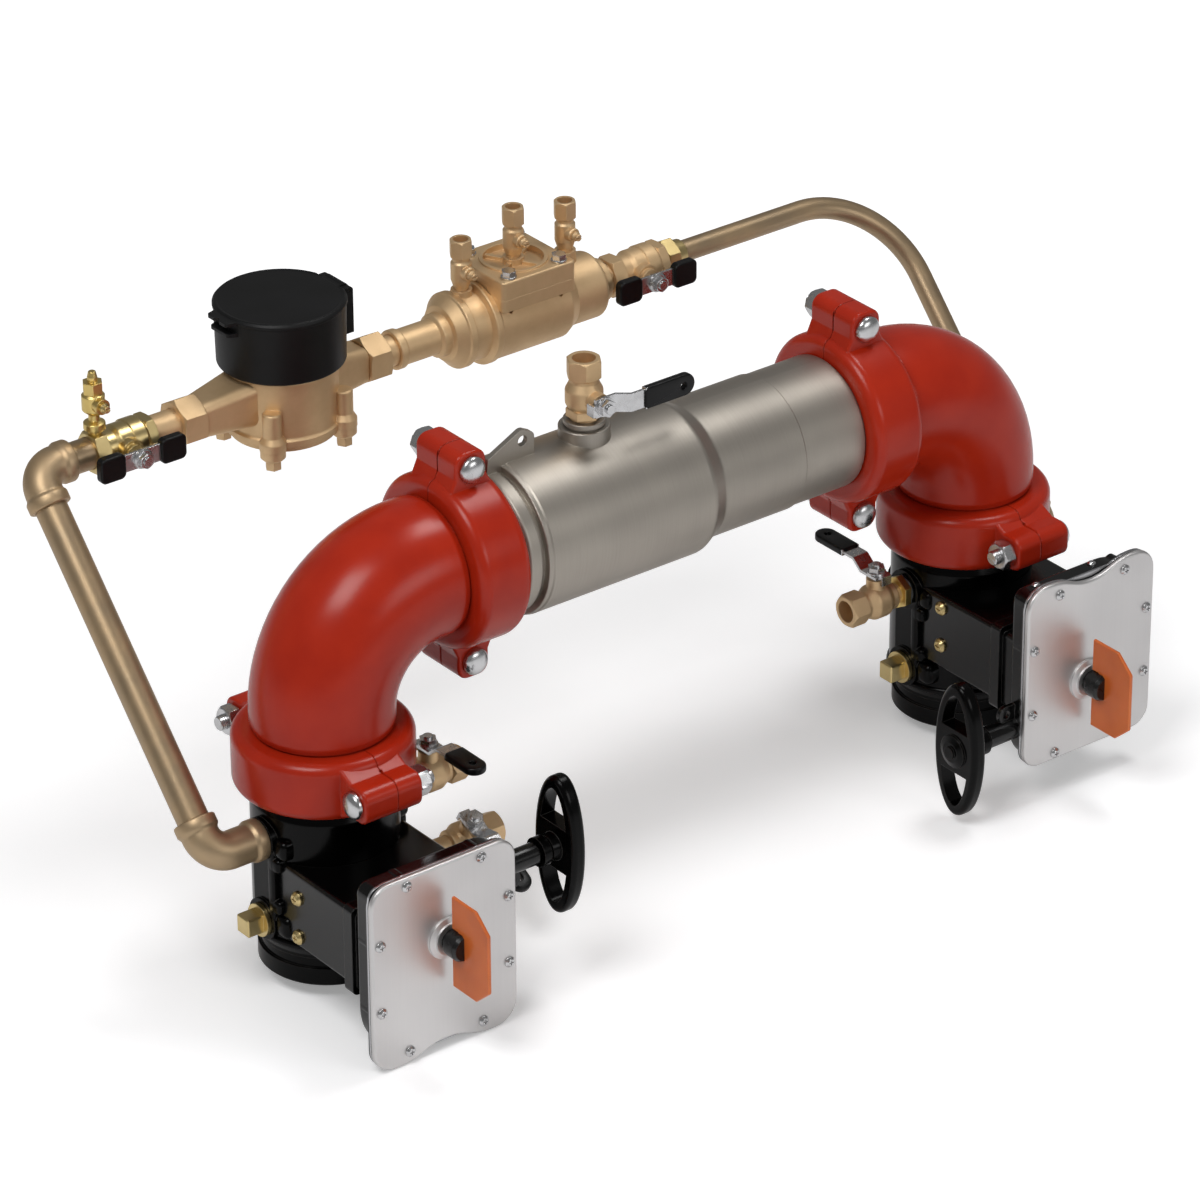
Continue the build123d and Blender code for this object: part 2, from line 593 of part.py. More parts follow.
def check_housing():
    """Stainless tube with grooved ends, two steps, ferrule and lifting lug."""
    inlet_end = grooved_end(1, HOUSING_START)
    outlet_end = grooved_end(-1, HOUSING_END)
    neck_from = HOUSING_START + LIP + GROOVE_WIDTH
    outside = inlet_end + [(PIPE_R, neck_from + 1), (NECK_R, neck_from + 5, 3), (NECK_R, BODY_START - 6),
                           (NECK_R - 2, BODY_START - 5), (NECK_R - 2, BODY_START - 2),
                           (HOUSING_R - 1, BODY_START - 2, 1), (HOUSING_R - 1, BODY_START + 2),
                           (HOUSING_R, BODY_START + 3.5), (HOUSING_R, STEP_START, 10), (OUTLET_R, STEP_END, 6),
                           (OUTLET_R, WELD_X), (PIPE_R, WELD_X + 1.2)] + outlet_end[::-1]
    tube = turning([(0, HOUSING_START)] + outside + [(0, HOUSING_END)], (0, 0, RUN_Z), (1, 0, 0))
    tube += turning([(0, -12), (FERRULE_R, -12), (FERRULE_R, FERRULE_TOP - 5.5, 1.5), (FERRULE_R - 5.5, FERRULE_TOP - 5.5),
                     (FERRULE_R - 5.5, FERRULE_TOP - 4), (FERRULE_R - 4, FERRULE_TOP - 4), (FERRULE_R - 4, FERRULE_TOP, 1),
                     (0, FERRULE_TOP)], (FERRULE_X, 0, RUN_Z + HOUSING_R))
    tube += lifting_lug()
    wide, narrow = HOUSING_R - HOUSING_WALL, BORE_R + 1.5
    bore = turning([(0, HOUSING_START - 1), (narrow, HOUSING_START - 1), (narrow, BODY_START), (wide, BODY_START + 8),
                    (wide, STEP_START - 4), (OUTLET_R - 4, STEP_END - 2), (OUTLET_R - 4, WELD_X - 4),
                    (narrow, WELD_X + 2), (narrow, HOUSING_END + 1), (0, HOUSING_END + 1)], (0, 0, RUN_Z), (1, 0, 0))
    tube -= bore
    return tube - rod((FERRULE_X, 0, RUN_Z + 20), (0, 0, 1), 80, PORT_R)


def lifting_lug():
    z = RUN_Z + HOUSING_R
    face = outline([(162, z - 12), (164, z + 8, 2), (198, z + 25, 6), (210, z + 19, 6), (210, z - 12)])
    plate = extrude(operator_plane(2.5) * face, 5)
    return plate - rod((198.4, 5, z + 14.5), (0, -1, 0), 10, 4.6)


def check_seat(x):
    """Ring plate with a raised seat and two lugs that hold the hinge pin."""
    wide = (HOUSING_R - HOUSING_WALL if x < STEP_START else OUTLET_R - 4) - FIT
    ring = turning([(SEAT_OPENING_R, -8), (wide, -8), (wide, 0), (SEAT_OPENING_R + 5, 0), (SEAT_OPENING_R + 4, 3),
                    (SEAT_OPENING_R, 3)], (x, 0, RUN_Z), (1, 0, 0))
    pin_x = x + 3 + SEAT + CLAPPER_THICKNESS / 2
    hinge_z = RUN_Z + HINGE_RISE
    for side in (-1, 1):
        y = side * 14
        lug = block((x - 1, pin_x + LUG_HALF), (y - 3, y + 3), (hinge_z - LUG_HALF, hinge_z + LUG_HALF))
        ring += lug
    pin = rod((pin_x, -19, hinge_z), (0, 1, 0), 38, HINGE_PIN_R)
    ring -= rod((pin_x, -30, hinge_z), (0, 1, 0), 60, HINGE_PIN_R + FIT / 4)
    return [ring, pin]


def clapper(x):
    pin_x = x + 3 + SEAT + CLAPPER_THICKNESS / 2
    plate = rod((x + 3 + SEAT, 0, RUN_Z), (1, 0, 0), CLAPPER_THICKNESS, CLAPPER_R)
    plate -= block((x, x + 30), (-60, 60), (RUN_Z + HINGE_RISE - 7, RUN_Z + 80))
    arm = rod((pin_x, -10, RUN_Z + HINGE_RISE), (0, 1, 0), 20, HINGE_PIN_R + 2.5)
    arm += block((x + 3 + SEAT, pin_x + 3), (-10, 10), (RUN_Z + 10, RUN_Z + HINGE_RISE))
    hub = rod((pin_x, 0, RUN_Z), (1, 0, 0), 9, 10)
    body = plate + arm + hub
    return body - rod((pin_x, -30, RUN_Z + HINGE_RISE), (0, 1, 0), 60, HINGE_PIN_R + RUN)


# Lever cock, in a frame with the flow along X, its stem up and its inlet at the origin

def cock_body(offset):
    """Male end, lock hex, ball body and female hex end; offset is the stem from the port face."""
    start = offset - 17
    end = start + COCK_LENGTH
    body = turning([(0, -10), (PORT_R - FIT, -10), (PORT_R - FIT, 1), (9, 1), (9, start), (COCK_R - 0.5, start, 2),
                    (COCK_R - 0.5, start + 6), (COCK_R + 2.5, offset - 6, 5), (COCK_R + 2.5, offset + 6, 5),
                    (COCK_R - 1, offset + 13), (COCK_R - 1, end), (0, end)], (0, 0, 0), (1, 0, 0))
    body += turned_hexagon((end - 17, 0, 0), (1, 0, 0), 17, 2 * COCK_R, (0, 1, 0), 0.8)
    body += hexagon((2, 0, 0), (1, 0, 0), 7, 26)
    body += rod((offset, 0, 0), (0, 0, 1), COCK_STEM, 8.5)
    body -= rod((offset, 0, COCK_STEM - STEM_DEPTH), (0, 0, 1), 20, SPINDLE_R + RUN)
    return body - rod((end - 16, 0, 0), (1, 0, 0), 20, 9.6)


def lever(reach):
    """Stepped flat lever along -Y with its stem and nut, in the cock's frame at the stem axis."""
    h = COCK_STEM + 2.5
    half = LEVER_WIDTH / 2
    flat = outline([(-9, h), (12, h, 2), (22, h + 8, 2), (reach - half, h + 8), (reach - half, h + 10.5),
                    (21, h + 10.5, 4), (11, h + 2.5, 4), (-9, h + 2.5)])
    strip = extrude(frame_at((half, 0, 0), (-1, 0, 0), (0, -1, 0)) * flat, LEVER_WIDTH)
    grip = block((-half - 1.2, half + 1.2), (-reach, -34), (h + 6.6, h + 11.9))
    grip = fillet(grip.edges().filter_by(Axis.Z).sort_by(Axis.Y)[:2], half + 1.1)
    plate = strip + grip
    plate -= rod((0, -reach + 11, h), (0, 0, 1), 20, 3.2)
    nut = hexagon((0, 0, h + 2.5), (0, 0, 1), 6, 13) + rod((0, 0, h + 2.5), (0, 0, 1), 1.5, 8.2)
    post = rod((0, 0, COCK_STEM - STEM_DEPTH + SEAT), (0, 0, 1), STEM_DEPTH + 13, SPINDLE_R)
    tab = block((-half + 1, half - 5), (9, 11.5), (h - 6, h + 2.5))
    return plate + tab + nut + post


def cock_places():
    """Place, stem offset and lever length of each cock, by name."""
    inlet_face = (PORT_FACE, 0, STEM_Z + PORT_Z)
    low_face = (PORT_FACE, 0, STEM_Z - PORT_Z)
    outlet_face = (AXIS_SPACING - PORT_FACE, 0, STEM_Z + PORT_Z)
    top = (FERRULE_X, 0, RUN_Z + HOUSING_R + FERRULE_TOP)
    return {
        "inlet_upper": (Pos(*inlet_face), INLET_COCK_OFFSET, SHORT_LEVER),
        "inlet_lower": (Pos(*low_face) * Rot(LOW_COCK_TILT, 0, 0), LOW_COCK_OFFSET, LOW_LEVER),
        "outlet": (Pos(*outlet_face) * Rot(0, 0, 180), OUTLET_COCK_OFFSET, SHORT_LEVER + 4),
        "housing": (Plane(origin=top, x_dir=(0, 0, 1), z_dir=(0, -1, 0)).location, HOUSING_COCK_OFFSET, LONG_LEVER),
    }


# Bypass line

def fitting_elbow(corner, first, second, collar=FITTING_REACH, last=FITTING_REACH):
    """Small cast elbow with two beaded sockets."""
    corner, first, second = Vector(*corner), Vector(*first), Vector(*second)
    body = Pos(*corner) * Sphere(FITTING_R - 1.2)
    for direction, reach in ((first, collar), (second, last)):
        body += turning([(0, 0), (FITTING_R - 1.2, 0), (FITTING_R - 1.2, reach - 11), (FITTING_R + 1.2, reach - 9, 1.5),
                         (FITTING_R + 1.2, reach, 1), (0, reach)], tuple(corner), tuple(direction))
    for direction, reach in ((first, collar), (second, last)):
        start = corner + direction * (reach - FITTING_DEPTH)
        body -= rod(tuple(start), tuple(direction), FITTING_DEPTH + 1, BYPASS_PIPE_R + FIT)
    for direction, reach in ((first, collar), (second, last)):
        body -= rod(tuple(corner), tuple(direction), reach, 9.5)
    return body


def drop_direction():
    """Unit vector from a lower port up to the bypass line."""
    rise, back = BYPASS_Z - STEM_Z - PORT_Z, BYPASS_Y
    length = hypot(rise, back)
    return (0, back / length, rise / length), length


def pipe(start, end, radius, wall):
    start, end = Vector(*start), Vector(*end)
    run = end - start
    body = rod(tuple(start), tuple(run.normalized()), run.length, radius)
    return body - rod(tuple(start - run.normalized()), tuple(run.normalized()), run.length + 2, radius - wall)


def ball_valve(x):
    """Ball valve from its inlet: hex end, narrow barrel, wide barrel in two stages, short hex end."""
    start, end = x - BALL_HALF, x + BALL_HALF
    first = turned_hexagon((start, BYPASS_Y, BYPASS_Z), (1, 0, 0), 13, BYPASS_HEX, (0, 1, 0))
    last = turned_hexagon((end - 9, BYPASS_Y, BYPASS_Z), (1, 0, 0), 9, BYPASS_HEX, (0, 1, 0))
    barrel = turning([(0, 12), (14.6, 12), (14.6, 21), (17.2, 24, 1.5), (17.2, 35), (18.3, 35.6), (18.3, 47, 1.5),
                      (15.5, 50), (0, 50)], (start, BYPASS_Y, BYPASS_Z), (1, 0, 0))
    body = barrel + first + last + rod((x, BYPASS_Y, BYPASS_Z), (0, -1, 0), TEE_OFFSET - 8, 8)
    body += rod((x, BYPASS_Y, BYPASS_Z), (0, -1, 0), TEE_OFFSET - 12, 10.5)
    for a, direction in ((start + 12, (-1, 0, 0)), (end - 12, (1, 0, 0))):
        body -= rod((a, BYPASS_Y, BYPASS_Z), direction, 13, BYPASS_PIPE_R + FIT)
    body -= rod((start, BYPASS_Y, BYPASS_Z), (1, 0, 0), 2 * BALL_HALF, 9)
    seat = BYPASS_Y - TEE_OFFSET + 8 + STEM_DEPTH
    return body - rod((x, seat, BYPASS_Z), (0, -1, 0), 20, SPINDLE_R + RUN)


def tee_handle(x):
    """Flat T handle with its stem and nut."""
    y = BYPASS_Y - TEE_OFFSET
    plate = block((x - TEE_HALF + 2, x + TEE_HALF - 2), (y - 1.25, y + 1.25), (BYPASS_Z - 7.5, BYPASS_Z + 7.5))
    plate += turning([(0, 0), (8.6, 0), (8.6, 1.2), (7.2, 2.4), (0, 2.4)], (x, y - 1.25, BYPASS_Z), (0, -1, 0))
    plate += turned_hexagon((x, y - 1.25, BYPASS_Z), (0, -1, 0), 7.5, 12)
    return plate + rod((x, y + 8 + STEM_DEPTH - SEAT, BYPASS_Z), (0, -1, 0), STEM_DEPTH + 18, SPINDLE_R)


def tee_grips(x):
    y = BYPASS_Y - TEE_OFFSET
    grips = []
    for side in (-1, 1):
        inner, outer = x + side * (TEE_HALF - 24), x + side * TEE_HALF
        grip = block(sorted((inner, outer)), (y - 4, y + 4), (BYPASS_Z - 11, BYPASS_Z + 11))
        grip = fillet(grip.edges().filter_by(Axis.Y), 5)
        grip = fillet(grip.faces().sort_by(Axis.Y)[0].edges() + grip.faces().sort_by(Axis.Y)[-1].edges(), 1.6)
        slot = block(sorted((inner - side, outer - side * (2 - FIT))), (y - 1.25 - RUN, y + 1.25 + RUN),
                     (BYPASS_Z - 7.5 - RUN, BYPASS_Z + 7.5 + RUN))
        grips.append(grip - slot)
    return grips


def union_nut(start, length=22):
    """Hex union nut around a tailpiece."""
    body = turned_hexagon((start, BYPASS_Y, BYPASS_Z), (1, 0, 0), length, 37, (0, 0, 1))
    return body - rod((start - 1, BYPASS_Y, BYPASS_Z), (1, 0, 0), length + 2, BYPASS_PIPE_R + FIT)


def meter_boss_places():
    r = METER_BOSS_CIRCLE * cos(radians(45))
    return [(METER_X + sx * r, BYPASS_Y + sy * r) for sx in (-1, 1) for sy in (-1, 1)]


def meter_body():
    """Main case with two tapered spuds and four bolt bosses."""
    z = BYPASS_Z
    case = turning([(0, METER_BOTTOM), (METER_R + 2, METER_BOTTOM), (METER_R + 2, METER_BOTTOM + 5), (METER_R, METER_BOTTOM + 7, 3),
                    (METER_R, METER_TOP - 3, 2), (METER_R - 3, METER_TOP), (0, METER_TOP)], (METER_X, BYPASS_Y, z))
    for tip, root in ((SPUD_START, METER_X - 32), (SPUD_END, METER_X + 32)):
        small = Plane(origin=(tip, BYPASS_Y, z), x_dir=(0, 1, 0), z_dir=(1, 0, 0)) * RectangleRounded(31, 31, 8)
        large = Plane(origin=(root, BYPASS_Y, z + 4), x_dir=(0, 1, 0), z_dir=(1, 0, 0)) * RectangleRounded(48, 40, 8)
        case += loft([small, large]) if tip < root else loft([large, small])
    for x, y in meter_boss_places():
        case += turning([(0, METER_BOTTOM), (METER_EAR_R, METER_BOTTOM), (METER_EAR_R, METER_BOTTOM + 7, 2),
                         (METER_BOSS_R - 1, METER_BOTTOM + 12), (METER_BOSS_R - 1, 2, 2), (0, 2)], (x, y, z))
    for x, y in meter_boss_places():
        case -= rod((x, y, z + METER_BOTTOM - 1), (0, 0, 1), 20, 3.4)
    return case


def meter_plate():
    """Bottom cover with four ears."""
    top = BYPASS_Z + METER_BOTTOM
    plate = turning([(0, -9), (METER_R - 9, -9, 2), (METER_R - 2, -5), (METER_R - 2, 0), (0, 0)],
                    (METER_X, BYPASS_Y, top))
    for x, y in meter_boss_places():
        plate += turning([(0, -9), (METER_BOSS_R - 1, -9), (METER_EAR_R - 0.5, -6.5), (METER_EAR_R - 0.5, 0), (0, 0)],
                         (x, y, top))
    for x, y in meter_boss_places():
        plate -= rod((x, y, top - 12), (0, 0, 1), 20, 3.4)
    return plate


def meter_bolts():
    top = BYPASS_Z + METER_BOTTOM - 9
    return [hexagon((x, y, top), (0, 0, -1), 8, 12) + rod((x, y, top), (0, 0, 1), 24, 3.2)
            for x, y in meter_boss_places()]


def register_shroud():
    """Round black case of the register, open at the top, with hinge cheeks."""
    z = BYPASS_Z + METER_TOP
    cup = turning([(0, 0), (REGISTER_R - 1, 0, 2), (REGISTER_R, REGISTER_HEIGHT), (REGISTER_R - 3, REGISTER_HEIGHT),
                   (REGISTER_R - 4, 26), (0, 26)], (METER_X, BYPASS_Y, z))
    hinge_x = METER_X + LID_HINGE_X
    top = z + REGISTER_HEIGHT
    cheeks = block((hinge_x - 6, hinge_x + 4.5), (BYPASS_Y - 18, BYPASS_Y + 18), (z + 12, top + 3))
    cheeks = fillet(cheeks.edges().filter_by(Axis.Y).sort_by(Axis.Z)[-2:], 3)
    cup += cheeks - rod((METER_X, BYPASS_Y, z + 26), (0, 0, 1), 60, REGISTER_R - 3)
    tab = outline([(-REGISTER_R + 2, -15), (-REGISTER_R - 6, -12, 3), (-REGISTER_R - 6, 12, 3), (-REGISTER_R + 2, 15)])
    cup += extrude(Plane(origin=(METER_X, BYPASS_Y, z + REGISTER_HEIGHT - 10)) * tab, 3)
    gap = rod((hinge_x, BYPASS_Y - 12, top), (0, 1, 0), 24, 4.6 + CLEAR)
    gap += block((hinge_x - 20, hinge_x), (BYPASS_Y - 12, BYPASS_Y + 12), (top - 4.6, top + 10))
    cup -= gap
    return cup - rod((hinge_x, BYPASS_Y - 30, top), (0, 1, 0), 60, 2 + RUN)


def register_dial():
    """Dial with its bezel, under the lid."""
    z = BYPASS_Z + METER_TOP + 26
    return turning([(0, 0), (REGISTER_R - 5, 0), (REGISTER_R - 5, 9), (REGISTER_R - 9, 11), (REGISTER_R - 11, 8), (0, 8)],
                   (METER_X, BYPASS_Y, z))


def register_lid():
    """Lid with a lifting tab in front and a hinge barrel behind."""
    z = BYPASS_Z + METER_TOP + REGISTER_HEIGHT
    lid = turning([(0, SEAT), (REGISTER_R + 0.8, SEAT), (REGISTER_R + 0.8, 2.5, 0.8), (REGISTER_R - 1.5, LID_THICKNESS, 1.5),
                   (REGISTER_R - 4, LID_THICKNESS - 0.8), (0, LID_THICKNESS)], (METER_X, BYPASS_Y, z))
    hinge_x = METER_X + LID_HINGE_X
    notch = block((hinge_x - 6 - CLEAR, hinge_x + 20), (BYPASS_Y - 18 - CLEAR, BYPASS_Y + 18 + CLEAR), (z - 5, z + 20))
    lid -= notch
    barrel = rod((hinge_x, BYPASS_Y - 12 + CLEAR, z), (0, 1, 0), 24 - 2 * CLEAR, 4.4)
    barrel += block((hinge_x - 8, hinge_x), (BYPASS_Y - 12 + CLEAR, BYPASS_Y + 12 - CLEAR), (z + SEAT, z + 3.6))
    tab = outline([(-REGISTER_R + 6, -17), (-REGISTER_R - 8, -13, 3), (-REGISTER_R - 8, -4), (-REGISTER_R - 5, 0),
                   (-REGISTER_R - 8, 4), (-REGISTER_R - 8, 13, 3), (-REGISTER_R + 6, 17)])
    lid += barrel + extrude(Plane(origin=(METER_X, BYPASS_Y, z + SEAT)) * tab, 3)
    bored = lid - rod((hinge_x, BYPASS_Y - 30, z), (0, 1, 0), 60, 2 + RUN)
    pin = rod((hinge_x, BYPASS_Y - 17.8, z), (0, 1, 0), 35.6, 2)
    return bored, pin


def bypass_check_body():
    """Cast body: stepped barrel, drum, square deck and outlet end."""
    start = CHECK_BODY_START
    marks = [(0, 0), (17.2, 0, 1.5), (17.2, 7, 1.5), (15.4, 8), (15.4, 41), (18.8, 43, 1), (18.8, 50, 1),
             (24, 51), (31, 59), (33, 60, 1), (33, 66, 1), (30.5, 67), (30.5, 82), (36.4, 84, 1.5), (36.4, 90, 1.5),
             (DRUM_R, 91), (DRUM_R, 163, 3), (29, 174), (29, 205, 4), (19, 212), (19, CHECK_BODY_END - start),
             (0, CHECK_BODY_END - start)]
    body = turning(marks, (start, BYPASS_Y, BYPASS_Z), (1, 0, 0))
    half_x, half_y = BONNET_LENGTH / 2, BONNET_WIDTH / 2
    deck = block((BONNET_X - half_x, BONNET_X + half_x), (BYPASS_Y - half_y, BYPASS_Y + half_y),
                 (BYPASS_Z + BONNET_UNDERSIDE, BYPASS_Z + BONNET_SEAM))
    deck = fillet(deck.edges().filter_by(Axis.Z), 4)
    bosses = [rod((x, BYPASS_Y, BYPASS_Z + 20), (0, 0, 1), base - 20, 9) for x, base in side_cock_places()]
    body = body + deck + bosses
    body -= rod((start - 1, BYPASS_Y, BYPASS_Z), (1, 0, 0), FITTING_DEPTH + 1, BYPASS_PIPE_R + FIT)
    cavity = turning([(0, 20), (11, 20), (11, 60), (25, 66), (25, 190), (11, 196), (11, 204), (0, 204)],
                     (start, BYPASS_Y, BYPASS_Z), (1, 0, 0))
    body -= cavity + rod((BONNET_X, BYPASS_Y, BYPASS_Z), (0, 0, 1), 60, 24)
    body -= block((BONNET_X - half_x - 0.5, BONNET_X + half_x + 0.5), (BYPASS_Y - 50, BYPASS_Y + 50),
                  (BYPASS_Z + BONNET_SEAM, BYPASS_Z + 60))
    for x, y in bonnet_bolt_places():
        body -= rod((x, y, BYPASS_Z + 14), (0, 0, 1), 40, 3.2)
    for x, base in side_cock_places():
        body -= rod((x, BYPASS_Y, BYPASS_Z + base - 6), (0, 0, 1), 10, 6)
    return body


def side_cock_places():
    """Place along X and height above the axis of the two cocks beside the bonnet."""
    return [(BONNET_X - TEST_COCK_PITCH, 35), (BONNET_X + TEST_COCK_PITCH, 39)]


def bonnet_bolt_places():
    return [(BONNET_X + sx * 26, BYPASS_Y + sy * 28) for sx in (-1, 1) for sy in (-1, 1)]


def bypass_bonnet():
    """Square lid with a round rim, four ribs and a middle boss."""
    z = BYPASS_Z
    half_x, half_y = BONNET_LENGTH / 2, BONNET_WIDTH / 2
    lid = block((BONNET_X - half_x, BONNET_X + half_x), (BYPASS_Y - half_y, BYPASS_Y + half_y),
                (z + BONNET_SEAM, z + BONNET_TOP))
    lid = fillet(lid.edges().filter_by(Axis.Z), 4)
    lid = fillet(lid.faces().sort_by(Axis.Z)[-1].edges(), 1.5)
    lid += rod((BONNET_X, BYPASS_Y, z + BONNET_TOP - 2), (0, 0, 1), 3.5, 29)
    lid -= rod((BONNET_X, BYPASS_Y, z + BONNET_TOP - 4), (0, 0, 1), 10, 25.5)
    lid += rod((BONNET_X, BYPASS_Y, z + BONNET_TOP - 5), (0, 0, 1), 7, 9)
    for angle in (30, 120):
        rib = Pos(BONNET_X, BYPASS_Y, z + BONNET_TOP - 3) * Rot(0, 0, angle) * Box(54, 4, 4)
        lid += rib
    for x, y in bonnet_bolt_places():
        lid -= rod((x, y, z), (0, 0, 1), 80, 3.4)
    return lid - rod((BONNET_X, BYPASS_Y, z + BONNET_TOP - 8), (0, 0, 1), 20, 6)


def bonnet_bolts():
    bolts = []
    for x, y in bonnet_bolt_places():
        top = BYPASS_Z + BONNET_TOP + FIT / 2
        bolt = rod((x, y, top), (0, 0, 1), 1.6, 6.8) + hexagon((x, y, top), (0, 0, 1), 6.5, 11)
        bolts.append(bolt + rod((x, y, top), (0, 0, -1), 28, 3))
    return bolts


def poppet(x):
    """Spring-loaded bypass check: disc and guide stem along X."""
    disc_part = rod((x, BYPASS_Y, BYPASS_Z), (1, 0, 0), 4, 15)
    return disc_part + rod((x, BYPASS_Y, BYPASS_Z), (1, 0, 0), 20, 4)


def poppet_seat(x):
    """Seat ring in the bore and a guide that carries the poppet's stem."""
    seat = turning([(9, -7), (25 - FIT, -7), (25 - FIT, -SEAT), (9, -SEAT)], (x, BYPASS_Y, BYPASS_Z), (1, 0, 0))
    guide = turning([(4 + RUN, 15), (7, 15), (7, 21), (4 + RUN, 21)], (x, BYPASS_Y, BYPASS_Z), (1, 0, 0))
    spokes = [Pos(x + 18, BYPASS_Y, BYPASS_Z) * Rot(a, 0, 0) * Pos(0, 15.5, 0) * Box(5, 18.4, 4) for a in (0, 120, 240)]
    return [seat, guide + spokes]


def test_cock(x, base):
    """Small screw cock standing on the bypass check."""
    z = BYPASS_Z + base
    body = turning([(0, -5), (5.8, -5), (5.8, 3), (7, 3), (8.8, 9, 1), (8.8, 24), (7.3, 26), (7.3, 30), (0, 30)],
                   (x, BYPASS_Y, z))
    body += turned_hexagon((x, BYPASS_Y, z + 29), (0, 0, 1), 16, 17.4, slope=1.0)
    body -= rod((x, BYPASS_Y, z + 34), (0, 0, 1), 20, 6.4)
    body += turning([(0, 0), (6, 0), (6, 12), (5.2, 13), (0, 13)], (x, BYPASS_Y, z + 17), (0, -1, 0))
    return body - rod((x, BYPASS_Y - 6, z + 17), (0, -1, 0), 12, 4.2 + RUN)


def cock_screw(origin, bore=4.2):
    """Slotted plug of a screw cock, turning about Y."""
    x, y, z = origin
    plug = turning([(0, 0), (bore, 0), (bore, 9.5), (bore - 1.2, 10.5), (bore - 1.2, 13.5, 0.6), (0, 13.5)],
                   (x, y + 7, z), (0, -1, 0))
    return plug - block((x - 5, x + 5), (y - 7, y - 4.8), (z - 0.6, z + 0.6))


def flare_cock():
    """Polished cock on the inlet ball valve, with its hex cap."""
    x = INLET_BALL_X - 22
    z = BYPASS_Z + BYPASS_HEX / 2 + FIT / 2
    body = turning([(0, 0), (5.5, 0), (5.5, 3), (9, 4, 1), (9, 10, 1), (4.6, 12), (4.6, 17), (9.5, 21, 2), (9.5, 34),
                    (6, 37), (0, 37)], (x, BYPASS_Y, z))
    body += rod((x, BYPASS_Y, z + 28), (0, -1, 0), 14, 6.5)
    body += hexagon((x, BYPASS_Y, z + 36), (0, 0, 1), 10, 15)
    body += turning([(0, 46), (4.2, 46), (4.2, 50), (3, 55, 1), (0, 55)], (x, BYPASS_Y, z))
    return body - rod((x, BYPASS_Y - 7, z + 28), (0, -1, 0), 12, 4.2 + RUN)


def return_tube():
    """Tube from the outlet ball valve round one bend and down to the outlet valve."""
    up, length = drop_direction()
    corner = Vector(OUTLET_DROP_X, BYPASS_Y, BYPASS_Z)
    down = Vector(*up) * -1
    start = Vector(OUTLET_BALL_X + BALL_HALF - 8, BYPASS_Y, BYPASS_Z)
    end = corner + down * (length - FITTING_REACH + 8)
    route = FilletPolyline(tuple(start), tuple(corner), tuple(end), radius=RETURN_BEND_R)
    section = Plane(origin=tuple(start), z_dir=(1, 0, 0))
    outer = sweep(section * Circle(TUBE_R), path=route)
    return outer - sweep(section * Circle(TUBE_R - 1.2), path=route)


def compression_nut(origin, direction):
    body = turning([(0, 0), (13.5, 0), (13.5, 4), (12, 22), (0, 22)], origin, direction)
    body += turned_hexagon(origin, direction, 13, 29)
    return body - rod(tuple(Vector(*origin) - Vector(*direction)), direction, 30, TUBE_R + FIT)


def square_plug(origin, side):
    """Square-headed brass plug in a side port."""
    x, y, z = origin
    body = rod((x - side * 10, y, z), (side, 0, 0), 10.5, PORT_R - FIT)
    body += rod((x + side * 0.2, y, z), (side, 0, 0), 4, 14)
    head = Pos(x + side * 11, y, z) * Box(16, 16, 16)
    return body + chamfer(head.edges(), 1)


